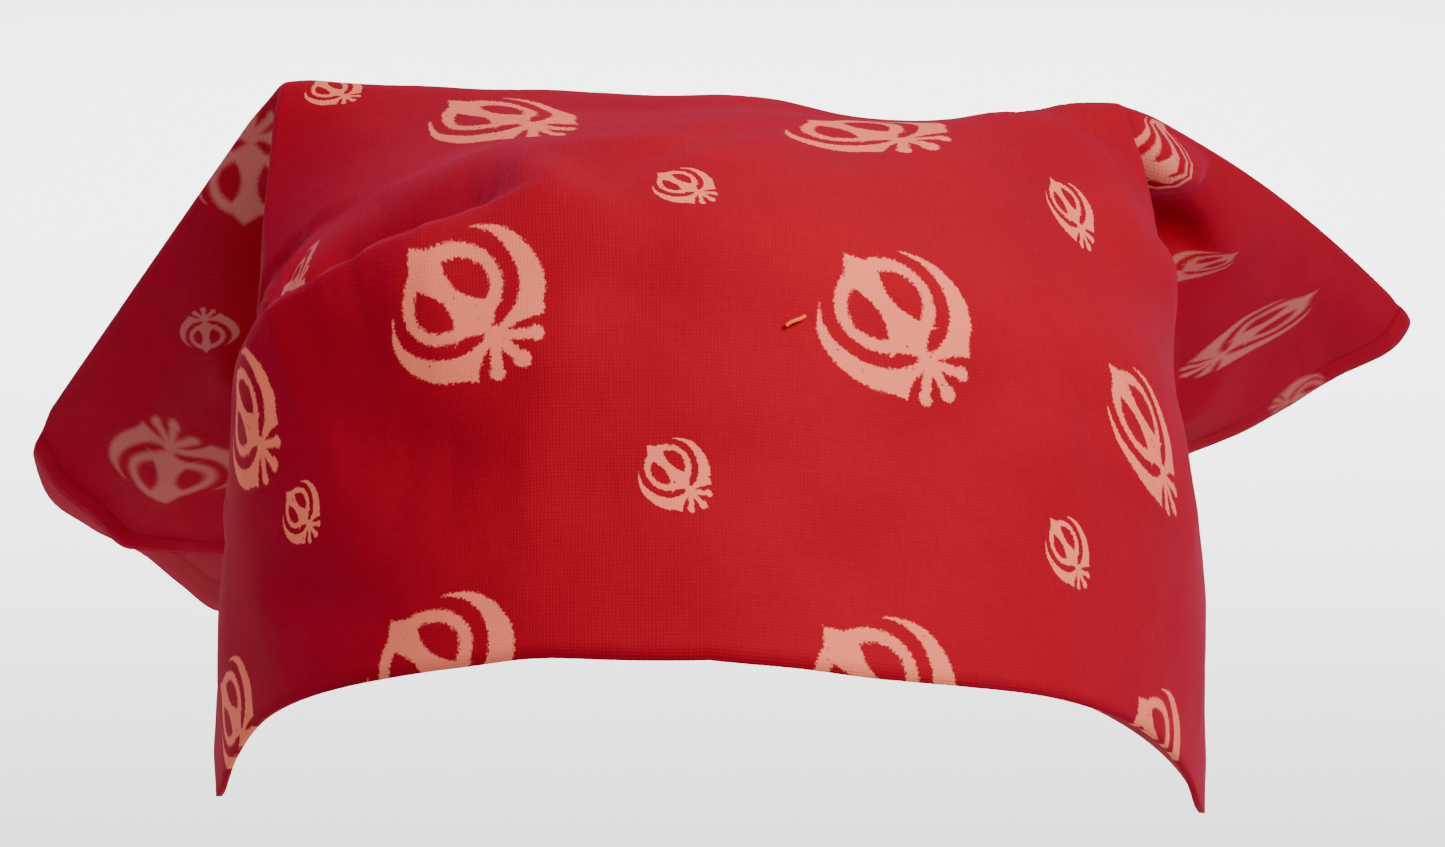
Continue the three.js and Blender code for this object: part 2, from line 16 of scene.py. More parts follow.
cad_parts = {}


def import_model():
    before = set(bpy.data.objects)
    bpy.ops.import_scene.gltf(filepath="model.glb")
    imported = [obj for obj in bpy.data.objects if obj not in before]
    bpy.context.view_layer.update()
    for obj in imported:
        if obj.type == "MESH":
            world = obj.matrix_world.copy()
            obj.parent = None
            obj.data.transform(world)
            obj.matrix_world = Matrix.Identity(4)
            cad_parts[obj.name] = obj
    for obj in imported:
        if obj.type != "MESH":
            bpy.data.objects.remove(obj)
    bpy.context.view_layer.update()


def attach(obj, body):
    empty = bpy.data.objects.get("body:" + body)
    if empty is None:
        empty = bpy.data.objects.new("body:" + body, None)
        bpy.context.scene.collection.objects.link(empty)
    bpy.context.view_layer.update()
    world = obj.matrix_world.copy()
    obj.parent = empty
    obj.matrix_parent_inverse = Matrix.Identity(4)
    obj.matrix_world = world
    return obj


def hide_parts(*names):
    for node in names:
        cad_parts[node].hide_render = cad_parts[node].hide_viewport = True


log = logging.getLogger("rumal")

MM = 0.001
Array = np.ndarray
Row = tuple[float, ...]

# Driving sizes in millimetres, as in the part
LEFT_HALF_WIDTH, RIGHT_HALF_WIDTH, BAND_HALF_DEPTH = 82.0, 82.6, 100.0
CROWN_HEIGHT, NAPE_DROP, BROW_TILT = 66.0, 60.0, 1.0
LEFT_WING_REACH, RIGHT_WING_REACH, WING_SETBACK = 132.5, 136.2, 95.0
LEFT_TIP_DROP, RIGHT_TIP_RISE = 18.6, 5.4
RIGHT_WING_BOW, LEFT_WING_BOW = 3.8, 0.2
FALL_SETBACK, FALL_DROP = 112.0, 58.0
KNOT_HALF = (11.0, 6.2, 8.5)
TIE_LENGTH, TIE_WIDTH, TIE_WALL = 56.0, 14.0, 2.4
EAR_ANGLE, END_ANGLE = 65.0, 172.0
HEM_WIDTH = 7.0
# the hem's stitches: how far inside its edge, how wide and how deep
STITCH_INSET, STITCH_WIDTH, STITCH_DEPTH = 1.6, 0.7, 0.75
# small lifts: of the wings' ridges, and of the lower edge before the nape
LEFT_RIDGE_LIFT, RIGHT_RIDGE_LIFT, NAPE_LIFT, NAPE_LIFT_ANGLE = 1.2, 0.7, 3.4, -108.0
# worn cotton's swellings: how high in millimetres, and how many in one
SWELLS = ((0.75, 0.045), (0.2, 0.13))
# samples between two rows of a crease
SAMPLES = 12
# how far a print reaches on the cloth, and how far over the roof line
PRINT_REACH, ROOF_REACH = 24.0, 12.0
# a place outside every print, a distance no print has, and the most that a slope stretches one
NO_PRINT, FAR, MOST_STRETCH = 60.0, 1e3, 1.6
# degrees that count as much as the whole climb, where a fold's width is measured
FOLD_DEGREES = 90

# angle, across, back and up, as shares of half width, half depth and crown height
ROOF_LINE = (
    (-65, -0.836, 0, 0.992), (-48, -0.622, -0.08, 0.992), (-25, -0.341, -0.18, 1.003),
    (0, 0, -0.22, 0.998), (25, 0.347, -0.18, 0.93), (44, 0.57, -0.1, 0.92),
    (55, 0.69, -0.05, 0.938), (65, 0.802, 0, 0.932),
)
LEFT_VALLEY = (
    (-150, -0.44, 0.87, -0.45), (-125, -0.73, 0.62, -0.12), (-100, -0.89, 0.32, 0.12),
    (-82, -0.885, 0.12, 0.36), (-72, -0.85, 0.04, 0.66), (-65, -0.836, 0, 0.992),
)
RIGHT_VALLEY = (
    (65, 0.802, 0, 0.932), (72, 0.845, 0.06, 0.66), (82, 0.875, 0.15, 0.38),
    (100, 0.905, 0.34, 0.12), (125, 0.75, 0.62, -0.12), (150, 0.45, 0.87, -0.45),
)
# angle, drop on the left and drop on the right, as shares of the nape's drop
LOWER_EDGE = (
    (0, 0, 0), (8, 0.008, 0.022), (15, 0.018, 0.056), (25, 0.077, 0.108), (35, 0.158, 0.178),
    (45, 0.263, 0.284), (55, 0.403, 0.43), (65, 0.605, 0.624), (72, 0.765, 0.778),
    (80, 0.865, 0.87), (90, 0.92, 0.92), (120, 0.96, 0.96), (150, 1, 1), (172, 0.97, 0.97),
)
# angle, across, back and rise, as shares of wing reach, wing setback and the fall's drop
LEFT_FRONT_HEM = (
    (-145, -0.31, 1, -0.84), (-115, -0.55, 0.92, -0.72), (-92, -0.727, 0.926, -0.68),
    (-84, -0.796, 0.96, -0.69), (-77, -0.859, 0.98, -0.682), (-71, -0.918, 1, -0.572),
    (-67, -0.975, 1, -0.453),
)
RIGHT_FRONT_HEM = (
    (68, 0.977, 1, 0.014), (73, 0.898, 1, -0.079), (80, 0.829, 0.985, -0.182),
    (87, 0.757, 0.965, -0.27), (95, 0.664, 0.945, -0.35), (118, 0.5, 0.95, -0.52),
    (145, 0.29, 1.01, -0.74),
)
LEFT_BACK_HEM = (
    (-62, -0.985, 1.03, -0.51), (-57, -0.924, 1.04, -0.636), (-51, -0.85, 1.07, -0.74),
    (-47, -0.795, 1.09, -0.86), (-43, -0.74, 1.11, -0.96), (-22, -0.37, 1.175, -1.03),
)
RIGHT_BACK_HEM = (
    (15, 0.22, 1.179, -1.01), (28, 0.425, 1.168, -0.9), (40, 0.617, 1.145, -0.56),
    (50, 0.764, 1.09, -0.2), (58, 0.896, 1.04, 0),
)
# step, back and down: the section of the fall behind the roof
FALL = (
    (0, 0, 0), (1, 0.164, 0.028), (2, 0.32, 0.075), (3, 0.5, 0.155), (4, 0.68, 0.27),
    (5, 0.83, 0.41), (6, 0.935, 0.58), (7, 0.99, 0.79), (8, 1, 1),
)
# step, then in and up at the middle, at the left ear and at the right ear
CLIMB = (
    (0, 0, 0, 0, 0, 0, 0), (1, 0.08, 0.37, 0.02, 0.2, 0.02, 0.2),
    (2, 0.15, 0.715, 0.04, 0.42, 0.05, 0.42), (3, 0.21, 0.855, 0.1, 0.6, 0.12, 0.6),
    (4, 0.32, 0.93, 0.25, 0.7, 0.28, 0.74), (5, 0.53, 0.978, 0.5, 0.8, 0.52, 0.86),
    (6, 0.78, 1.01, 0.76, 0.91, 0.78, 0.96), (7, 1, 1, 1, 1, 1, 1),
)
# angle, climb, to angle, to climb, out as a share of the crown's height, width above, width below
FOLDS = (
    (-62, 0.49, -50, 0.6, 0.02, 0.06, 0.12), (-67, 0.86, -66, 0.56, -0.06, 0.12, 0.09),
    (-66, 0.54, -74, 0.38, -0.052, 0.08, 0.12), (-52, 0.6, -22, 0.7, 0.036, 0.07, 0.2),
    (-60, 0.7, -20, 0.8, -0.045, 0.14, 0.1), (-18, 0.74, -8, 0.66, 0.025, 0.14, 0.2),
    (-12, 0.86, 6, 0.92, -0.022, 0.12, 0.12), (12, 0.7, 50, 0.93, 0.035, 0.16, 0.22),
    (62, 0.88, 68, 0.72, -0.062, 0.12, 0.07), (56, 0.66, 63, 0.62, 0.036, 0.07, 0.07),
    (68, 0.5, 80, 0.46, -0.062, 0.14, 0.11), (-38, 0.3, -24, 0.34, -0.02, 0.16, 0.16),
    (20, 0.26, 38, 0.32, -0.02, 0.16, 0.16),
)
# angle, spread, to angle, to spread, out as a share of the crown's height, width in degrees
BACK_FOLDS = (
    (-36, 0.3, -30, 1, -0.07, 9), (36, 0.3, 30, 1, -0.07, 9), (-18, 0.55, -14, 1, 0.05, 7),
    (12, 0.5, 16, 1, 0.05, 7), (-78, 0.25, -74, 0.72, 0.04, 6), (76, 0.2, 79, 0.72, -0.06, 6),
    (-150, 0, -160, 1, -0.02, 8), (150, 0, 160, 1, -0.02, 8),
)


def smooth(x: Array, low: float, high: float) -> Array:
    """Returns 0 where x is below low and 1 where it is above high, eased between."""
    t = np.clip((x - low) / (high - low), 0.0, 1.0)
    return t * t * (3.0 - 2.0 * t)


def unit(v: Array) -> Array:
    """Returns the vectors in v at length one."""
    return v / np.maximum(np.linalg.norm(v, axis=-1, keepdims=True), 1e-9)


def bell(x: Array, width: Any) -> Array:
    """Returns 1 where x is 0, about 0.37 where it reaches width, and less beyond."""
    return np.exp(-((x / width) ** 2))


def from_ridge(angle: Array) -> Array:
    """Returns how many degrees each angle lies from the nearer wing's ridge."""
    return np.abs(np.abs(angle) - EAR_ANGLE)


class Curve:
    """A smooth curve through table rows that never swings past them."""

    def __init__(self, rows: Sequence[Row]) -> None:
        """Reads the rows.

        Args:
            rows: each one the place first, then the values there.
        """
        table = np.array(rows, float)
        self.x, self.y = table[:, 0], table[:, 1:]
        steps = np.diff(self.y, axis=0) / np.diff(self.x)[:, None]
        before, after = steps[:-1], steps[1:]
        total = np.where(before + after == 0, 1.0, before + after)
        inner = np.where(before * after <= 0, 0.0, 2 * before * after / total)
        self.slope = np.vstack([steps[:1], inner, steps[-1:]])

    def __call__(self, at: Array) -> Array:
        """Returns the row values at each place in at, in a last axis of their own."""
        p = np.clip(at, self.x[0], self.x[-1])
        i = np.clip(np.searchsorted(self.x, p) - 1, 0, len(self.x) - 2)
        wide = self.x[i + 1] - self.x[i]
        t, wide = ((p - self.x[i]) / wide)[..., None], wide[..., None]
        a, b = self.y[i], self.y[i + 1]
        sa, sb = self.slope[i] * wide, self.slope[i + 1] * wide
        return (a + t * sa + t * t * (3 * (b - a) - 2 * sa - sb)
                + t**3 * (2 * (a - b) + sa + sb))


class ClothMap:
    """Places the cloth by angle round the head and height: 0 at the brow, 1 at the roof, 2 at the hem."""

    def __init__(self) -> None:
        """Builds the outline curves, tied to the knot and to the wings' tips."""
        drop = LOWER_EDGE[-1][1] * NAPE_DROP
        self.knot = np.array([0.0, BAND_HALF_DEPTH * 1.005, KNOT_HALF[2] * 0.9 - drop])
        reach = KNOT_HALF[0] + 0.1
        top = self.knot[2] + KNOT_HALF[2] * 0.9
        valley_back = (self.knot[1] - KNOT_HALF[1] * 0.35) / BAND_HALF_DEPTH
        hem_back = (self.knot[1] + KNOT_HALF[1] * 0.6) / WING_SETBACK

        def end(side: int, half: float, back: float, up: float) -> Row:
            return (side * END_ANGLE, side * reach / half, back, up / CROWN_HEIGHT)

        def hem_end(side: int, wing: float) -> Row:
            return (side * END_ANGLE, side * reach / wing, hem_back, self.knot[2] / FALL_DROP)

        left_tip = (-EAR_ANGLE, -1.0, 1.0, -LEFT_TIP_DROP / FALL_DROP)
        right_tip = (EAR_ANGLE, 1.0, 1.0, RIGHT_TIP_RISE / FALL_DROP)
        middle = (0.0, 0.0, FALL_SETBACK / WING_SETBACK, -1.0)
        self.roof = Curve(ROOF_LINE)
        self.left_valley = Curve((end(-1, LEFT_HALF_WIDTH, valley_back, top), *LEFT_VALLEY))
        self.right_valley = Curve((*RIGHT_VALLEY, end(1, RIGHT_HALF_WIDTH, valley_back, top)))
        self.left_hem = Curve((hem_end(-1, LEFT_WING_REACH), *LEFT_FRONT_HEM, left_tip))
        self.right_hem = Curve((right_tip, *RIGHT_FRONT_HEM, hem_end(1, RIGHT_WING_REACH)))
        self.back_hem = Curve((left_tip, *LEFT_BACK_HEM, middle, *RIGHT_BACK_HEM, right_tip))
        self.drop = Curve(LOWER_EDGE)
        self.fall = Curve(FALL)
        self.climb = Curve(CLIMB)

    @staticmethod
    def _pick(angle: Array, left: Curve, middle: Curve, right: Curve) -> Array:
        """Returns the value of the curve that each angle belongs to."""
        values = np.where((angle < -EAR_ANGLE)[..., None], left(angle), middle(angle))
        return np.where((angle > EAR_ANGLE)[..., None], right(angle), values)

    @staticmethod
    def _sized(shares: Array, left: float, right: float, deep: float, tall: float) -> Array:
        """Returns points in millimetres, from their shares of the sizes on their side."""
        across = np.where(shares[..., 0] < 0, left, right)
        return shares * np.stack([across, np.full_like(across, deep), np.full_like(across, tall)], -1)

    def lower(self, angle: Array) -> Array:
        """Returns points on the lower edge, in millimetres."""
        turn = np.radians(angle)
        across = np.sin(turn)
        half = np.where(across < 0, LEFT_HALF_WIDTH, RIGHT_HALF_WIDTH)
        drop = self.drop(np.abs(angle))
        down = np.where(across < 0, drop[..., 0], drop[..., 1]) * NAPE_DROP + BROW_TILT * across
        return np.stack([half * across, -BAND_HALF_DEPTH * np.cos(turn), -down], -1)

    def upper(self, angle: Array) -> Array:
        """Returns points on the roof line, and on the valleys beyond the ears."""
        shares = self._pick(angle, self.left_valley, self.roof, self.right_valley)
        return self._sized(shares, LEFT_HALF_WIDTH, RIGHT_HALF_WIDTH, BAND_HALF_DEPTH, CROWN_HEIGHT)

    def hem(self, angle: Array) -> Array:
        """Returns points on the hems of the wings and of the fall."""
        shares = self._pick(angle, self.left_hem, self.back_hem, self.right_hem)
        return self._sized(shares, LEFT_WING_REACH, RIGHT_WING_REACH, WING_SETBACK, FALL_DROP)

    @staticmethod
    def _strength(place: tuple[Array, Array], start: Row, end: Row, above: float, below: float) -> Array:
        """Returns how strongly a straight fold acts at each place, from 0 to 1."""
        ax, ay = start[0] / FOLD_DEGREES, start[1]
        dx, dy = end[0] / FOLD_DEGREES - ax, end[1] - ay
        px, py = place[0] / FOLD_DEGREES, place[1]
        t = np.clip(((px - ax) * dx + (py - ay) * dy) / (dx * dx + dy * dy), 0, 1)
        fx, fy = ax + t * dx, ay + t * dy
        return bell(np.hypot(px - fx, py - fy), np.where(py >= fy, above, below))

    def crown(self, angle: Array, climb: Array) -> Array:
        """Returns points of the front and sides, between the lower edge and the roof line."""
        foot, top = self.lower(angle), self.upper(angle)
        k = self.climb(climb * 7)
        side = smooth(np.abs(angle), 0, EAR_ANGLE)[..., None]
        ear = np.where((angle < 0)[..., None], k[..., 2:4], k[..., 4:6])
        move = k[..., :2] + (ear - k[..., :2]) * side
        plain = smooth(np.abs(angle), EAR_ANGLE + 5, EAR_ANGLE + 40)
        move = move + (climb[..., None] - move) * plain[..., None]
        point = foot + (top - foot) * move[..., [0, 0, 1]]
        turn = np.radians(angle)
        lift = smooth(climb, 0.55, 0.8) * (1 - plain)
        out = unit(np.stack([np.sin(turn) * (1 - lift), -np.cos(turn) * (1 - 0.7 * lift), lift], -1))
        amount = sum(r[4] * self._strength((angle, climb), r[:2], r[2:4], r[5], r[6]) for r in FOLDS)
        amount = amount * smooth(climb, 0, 0.12) * (1 - smooth(climb, 0.9, 1)) * CROWN_HEIGHT
        return point + out * amount[..., None]

    def back(self, angle: Array, spread: Array) -> Array:
        """Returns points of the wings and the fall, between the roof line or valley and the hem."""
        foot, end = self.upper(angle), self.hem(angle)
        share = np.abs(angle) / EAR_ANGLE
        full = np.where(share < 1, np.cos(np.clip(share, 0, 1) * math.pi / 2) ** 1.2, 0)[..., None]
        move = spread[..., None] + (self.fall(spread * 8) - spread[..., None]) * full
        point = foot + (end - foot) * move[..., [0, 0, 1]]
        bow = np.where(angle < 0, LEFT_WING_BOW, RIGHT_WING_BOW) * bell(share - 1, 0.25)
        point[..., 2] += bow * np.sin(math.pi * spread)
        place, amount = (angle, spread / 2), 0.0
        for a0, s0, a1, s1, out, degrees in BACK_FOLDS:
            width = degrees / FOLD_DEGREES
            amount = amount + out * self._strength(place, (a0, s0 / 2), (a1, s1 / 2), width, width)
        between = (np.abs(angle) < EAR_ANGLE)[..., None]
        way = np.where(between, np.array([0, 0.9, 0.45]), np.array([0, -0.8, -0.6]))
        return point + way * (amount * smooth(spread, 0, 0.25) * CROWN_HEIGHT)[..., None]

    def __call__(self, angle: Array, height: Array) -> Array:
        """Returns points of the cloth in millimetres.

        Args:
            angle: degrees round the head from the middle of the brow.
            height: from 0 at the lower edge to 2 at the hem.
        """
        front = self.crown(angle, np.minimum(height, 1))
        return np.where((height <= 1)[..., None], front, self.back(angle, np.clip(height - 1, 0, 1)))


class Edge(Enum):
    """How a crease falls away from its line."""

    ROUND = 2.0
    SOFT = 1.5


@dataclass(frozen=True)
class Crease:
    """A fold along a line of the cloth.

    The rows are angle, height and how far it stands out in millimetres. Above is the side of greater height
    where the line runs to greater angles. lean pushes the cloth just below the line up over it.
    """

    name: str
    rows: tuple[Row, ...]
    above: float
    below: float
    edge_above: Edge = Edge.ROUND
    edge_below: Edge = Edge.ROUND
    lean: float = 0.0
    lean_width: float = 5.0


CREASES = tuple(Crease(*row) for row in (
    ("pleat over the temple and brow", (
        (-62, 0.405, 0), (-58, 0.44, 0.9), (-54.8, 0.455, 2.2), (-50.5, 0.478, 3.7),
        (-42.5, 0.494, 4.4), (-36, 0.513, 4), (-31, 0.522, 3.2), (-25, 0.541, 2.2), (-19.5, 0.56, 1.2),
        (-13, 0.58, 0)), 1.2, 11, Edge.ROUND, Edge.SOFT, 2.6, 3.5),
    ("valley over the pleat", (
        (-60, 0.53, 0), (-53, 0.56, -3.2), (-45, 0.585, -6), (-36, 0.6, -5.6), (-26, 0.615, -3.6),
        (-19, 0.64, 0)), 10, 4.5, Edge.ROUND, Edge.SOFT),
    ("hollow under the pleat", (
        (-58, 0.38, 0), (-52, 0.4, -1.6), (-45, 0.415, -2.6), (-38, 0.43, -2.2), (-29, 0.45, 0)), 6, 10),
    ("peak at the end of the pleat", (
        (-25, 0.69, 0), (-19.5, 0.65, 1.8), (-16, 0.61, 3), (-10, 0.5, 1.6), (-6, 0.42, 0)),
        4, 8, Edge.SOFT),
    ("band over the valley", (
        (-46, 0.64, 0), (-42, 0.74, 1.2), (-30, 0.74, 1.2), (-20, 0.69, 0.3), (-14, 0.66, 0)), 9, 6),
    ("rise behind the band", (
        (-34, 0.88, 0), (-26, 0.85, 1.2), (-19, 0.83, 1.8), (-12, 0.8, 1.2), (-4, 0.78, 0)), 8, 6),
    ("crease on the roof", (
        (-10, 0.64, 0), (-6, 0.66, -1), (1, 0.71, -1.2), (6, 0.77, -0.8), (11, 0.82, 0)),
        4, 3, Edge.SOFT, Edge.SOFT),
    ("ridge on the right", (
        (5, 0.54, 0), (10, 0.6, 1), (21, 0.72, 2.1), (32, 0.81, 2.3), (42, 0.9, 1.5), (52, 0.98, 0)),
        6, 10, Edge.SOFT),
    ("hollow right of the ridge", (
        (38, 0.66, 0), (46, 0.78, -1.2), (54, 0.88, -1.4), (60, 0.94, 0)), 6, 8),
    ("dent over the left temple", (
        (-42, 0.24, 0), (-33, 0.2, -1.8), (-27, 0.19, -1.9), (-18, 0.17, 0)), 6, 8),
    ("swell over the left brow", (
        (-38, 0.33, 0), (-28, 0.29, 1.1), (-18, 0.27, 1.2), (-8, 0.26, 0)), 6, 6),
    ("dent at the brow", ((-18, 0.12, 0), (-10, 0.13, -1.3), (2, 0.15, -1.5), (11, 0.17, 0)), 6, 6),
    ("dent over the middle", (
        (-14, 0.3, 0), (-6, 0.28, -0.9), (4, 0.27, -0.9), (12, 0.3, 0)), 6, 7),
    ("dent low on the right", (
        (8, 0.05, 0), (15, 0.09, -1.5), (20, 0.13, -1.5), (26, 0.2, 0)), 6, 7),
    ("dent at the right brow", (
        (18, 0.17, 0), (25, 0.23, -1.6), (33, 0.31, -1.4), (40, 0.35, 0)), 6, 7),
    ("crease below the right temple", (
        (30, 0.5, 0), (37, 0.43, -1.2), (44, 0.33, -1.4), (50, 0.2, 0)), 5, 5),
    ("crease at the left temple", (
        (-56, 0.16, 0), (-48, 0.12, -1.2), (-40, 0.09, -1), (-32, 0.08, 0)), 4, 5),
    ("long fold of the right wing", (
        (69.5, 1.25, 0), (72, 1.36, 1.5), (75, 1.55, 2.4), (77, 1.75, 1.8), (78, 1.95, 0)), 8, 8),
    ("pocket under the right wing's roll", (
        (70.5, 1, -7), (71.3, 1.08, -9), (72, 1.15, -9), (73.5, 1.23, -6), (75.5, 1.3, 0)), 3.2, 9),
    ("roll on the right wing", (
        (67, 1, 4), (67.3, 1.07, 7), (67.1, 1.14, 6.5), (66.6, 1.2, 3.5), (66, 1.26, 0)),
        3, 2.4, Edge.ROUND, Edge.ROUND, -3.2, 3),
    ("gap beside the right wing", (
        (74, 1.16, -3), (78, 1.2, -5), (83, 1.32, -5), (88, 1.5, -4), (93, 1.7, 0)), 7, 12),
    ("gap beside the left wing", (
        (-92, 1.12, 0), (-86, 1.1, -5), (-80, 1.08, -7), (-75, 1.07, -6.5), (-71, 1.06, -4),
        (-68, 1.05, -1)), 10, 6),
    ("hang at the left of the fall", ((-36, 1.3, 0), (-33, 1.6, -2.6), (-30, 2, -3)), 9, 12),
    ("hang at the right of the fall", ((36, 1.3, 0), (33, 1.6, -2.6), (30, 2, -3)), 9, 12),
    ("left ridge of the fall", ((-20, 1.42, 0), (-18, 1.7, 1.6), (-15, 2, 2.4)), 7, 9),
    ("right ridge of the fall", ((10, 1.4, 0), (12, 1.7, 1.6), (15, 2, 2.4)), 7, 9),
    ("left hollow of the fall", ((-8, 1.5, 0), (-6, 1.75, -1.2), (-5, 2, -2)), 6, 8),
))


# the knot draws the cloth behind the ears into gathers: angle, height, to angle, to height, out
GATHERS = (
    (-118, 0.35, -171, 0.28, 1.1), (-108, 0.62, -171, 0.52, -1.0), (-124, 0.72, -171, 0.78, 1.0),
    (-104, 0.2, -171, 0.1, -0.9), (118, 0.3, 171, 0.26, 1.1), (106, 0.56, 171, 0.5, -1.1),
    (122, 0.78, 171, 0.74, 0.9), (110, 0.12, 171, 0.08, -0.8), (-122, 1.4, -171, 1.34, 1.0),
    (-112, 1.7, -171, 1.66, -0.9), (118, 1.36, 171, 1.4, 0.9), (108, 1.66, 171, 1.7, -0.9),
)


@dataclass(frozen=True)
class Emblem:
    """One print: where its ring lies on the cloth, and how it runs over it.

    turn is how far its tip points to the left, in degrees. long and wide are its scale along and across,
    and skew turns its sides further than its tip. No cloth lower than floor takes the print. strength is the
    share of the full paste, and blur softens its edge, in millimetres.
    """

    angle: float
    height: float
    turn: float = 43.0
    long: float = 1.0
    wide: float = 1.0
    skew: float = 0.0
    floor: float = -1.0
    strength: float = 1.0
    blur: float = 0.0


# turn, long and wide of the small print between the large ones
SMALL = (43, 0.5, 0.45)

# the first 24 rows are read from the photograph, and the rest follow their spacing. The prints on the wings
# and the one in the valley over the pleat have strengths below 1, which dim and grey them as painted shade
EMBLEMS = tuple(Emblem(*row) for row in (
    (-29.2, 0.89, 52, 1.75, 0.75, -20),
    (16.75, 0.805, 57, 0.95, 1.38, -15),
    (-26.5, 0.383, 37, 1.13, 1.08, -11),
    (17.5, 0.37, 59, 1.25, 0.94, -10),
    (-29.8, 0.015, 43, 1.1, 1.25, -13),
    (15.2, 0.005, 48, 1.33, 0.99, -6),
    (-58.4, 0.37, 40, 1, 0.92, 0),
    (51, 0.36, 58, 1.5, 0.56, -4),
    (-64.8, 0.066, 36, 0.92, 1.05, -15),
    (53.2, -0.01, 60, 1.15, 0.95, -15),
    (-53.4, 0.585, 100, 0.26, 0.8, 0, 0.53, 0.6, 0.3),
    (-3, 0.592, 50, 0.5, 0.36, 0),
    (-4.2, 0.147, 41, 0.57, 0.43, 0),
    (45, 0.705, -12, 0.8, 0.48, 34),
    (38.5, 0.168, 59, 0.65, 0.36, -4),
    (-48, 0.214, 29, 0.45, 0.48, -4),
    (-57.2, 0.985, 66, 0.5, 0.34, -26),
    (-67.5, 1.15, 65, 1.25, 1.45, 32, -1, 0.5, 0.35),
    (-71.8, 1.365, 75, 0.42, 0.8, 22, -1, 0.42, 0.3),
    (-76.5, 1.69, 29, 1.4, 1.48, 34, -1, 0.45, 0.45),
    (74.6, 1.65, 46, 1.45, 0.75, 30, -1, 0.5, 0.5),
    (77.5, 2, 62, 0.7, 0.6, 18, -1, 0.5, 1.4),
    (73.8, 1.345, 14, 0.72, 0.36, 36, -1, 0.36, 0.5),
    (66.5, 1.08, 20, 0.78, 0.46, 20, -1, 0.75, 0.2),
    (-114, 0.22), (100, 0.28), (-128, 0.55, *SMALL), (118, 0.45, *SMALL), (-146, 0.4), (140, 0.4),
    (-30, 1.4), (4, 1.42), (34, 1.42), (-14, 1.62, *SMALL), (20, 1.62, *SMALL), (-26, 1.84),
    (6, 1.84), (40, 1.84), (-48, 1.66, *SMALL), (52, 1.64, *SMALL), (-55, 1.86), (60, 1.9),
    (-12, 1.18, *SMALL), (24, 1.18, *SMALL), (-117, 1.5), (116, 1.5), (-134, 1.6, *SMALL),
    (134, 1.6, *SMALL),
))


# Shader expressions

Number = float | int


def new_node(tree: NodeTree, kind: str, **settings: Any) -> Node:
    """Adds a node.

    Args:
        tree: the material's node tree.
        kind: the node's type name.
        **settings: its properties. inputs gives socket values by name or number, as numbers or fields.

    Returns:
        The new node.
    """
    values = settings.pop("inputs", {})
    node = tree.nodes.new(kind)
    for name, value in settings.items():
        setattr(node, name, value)
    for key, value in values.items():
        if isinstance(value, Signal):
            tree.links.new(value.socket, node.inputs[key])
        else:
            node.inputs[key].default_value = value
    return node


class Signal:
    """A socket of a node tree."""

    def __init__(self, tree: NodeTree, socket: NodeSocket) -> None:
        """Wraps the socket."""
        self.tree, self.socket = tree, socket

    def field(self, kind: str, **settings: Any) -> Field:
        """Returns the number that a new node gives."""
        return Field(self.tree, new_node(self.tree, kind, **settings).outputs[0])

    def place(self, **settings: Any) -> Place:
        """Returns the vector that a new vector maths node gives."""
        return Place(self.tree, new_node(self.tree, "ShaderNodeVectorMath", **settings).outputs[0])


def operator(operation: str, about: str = "", swapped: bool = False) -> Callable[..., Any]:
    """Returns a method that adds maths nodes.

    Args:
        operation: what each node does.
        about: the method's docstring.
        swapped: whether the other number comes first.
    """
    def method(self: Field, *others: Field | Number) -> Field:
        pair = dict(enumerate((*others[:1], self) if swapped else (self, *others[:1])))
        result = self.field("ShaderNodeMath", operation=operation, inputs=pair)
        return method(result, *others[1:]) if others[1:] else result

    method.__doc__ = about
    return method


class Field(Signal):
    """A number that varies over the surface, with the usual operators."""

    __add__ = __radd__ = operator("ADD")
    __mul__ = __rmul__ = operator("MULTIPLY")
    __sub__ = operator("SUBTRACT")
    __rsub__ = operator("SUBTRACT", swapped=True)
    __truediv__ = operator("DIVIDE")
    __pow__ = operator("POWER")
    __abs__ = operator("ABSOLUTE")
    root = operator("SQRT", "Returns the square root.")
    sine = operator("SINE", "Returns the sine, of radians.")
    least = operator("MINIMUM", "Returns the smallest of this and the others.")
    most = operator("MAXIMUM", "Returns the largest of this and the others.")

    def __neg__(self) -> Field:
        return self * -1.0

    def ramp(self, low: Number, high: Number) -> Field:
        """Returns 0 below low and 1 above high, eased between. low may be the greater."""
        limits = {0: self, 1: float(low), 2: float(high), 3: 0.0, 4: 1.0}
        return self.field("ShaderNodeMapRange", interpolation_type="SMOOTHSTEP", inputs=limits)


class Place(Signal):
    """A vector, such as a coordinate."""

    def __mul__(self, other: Sequence[Number]) -> Place:
        return self.place(operation="MULTIPLY", inputs={0: self, 1: tuple(other)})

    def floor(self) -> Place:
        """Returns each part rounded down."""
        return self.place(operation="FLOOR", inputs={0: self})

    def parts(self) -> tuple[Field, Field]:
        """Returns the first two parts."""
        x, y, _ = new_node(self.tree, "ShaderNodeSeparateXYZ", inputs={0: self}).outputs
        return Field(self.tree, x), Field(self.tree, y)

    def noise(self, scale: float, detail: float = 2.0) -> Field:
        """Returns smooth noise from about 0.3 to 0.7."""
        values = {"Vector": self, "Scale": scale, "Detail": detail}
        return self.field("ShaderNodeTexNoise", noise_dimensions="2D", inputs=values)

    def speckle(self) -> Field:
        """Returns one random number from 0 to 1 for each place."""
        return self.field("ShaderNodeTexWhiteNoise", noise_dimensions="2D", inputs={"Vector": self})


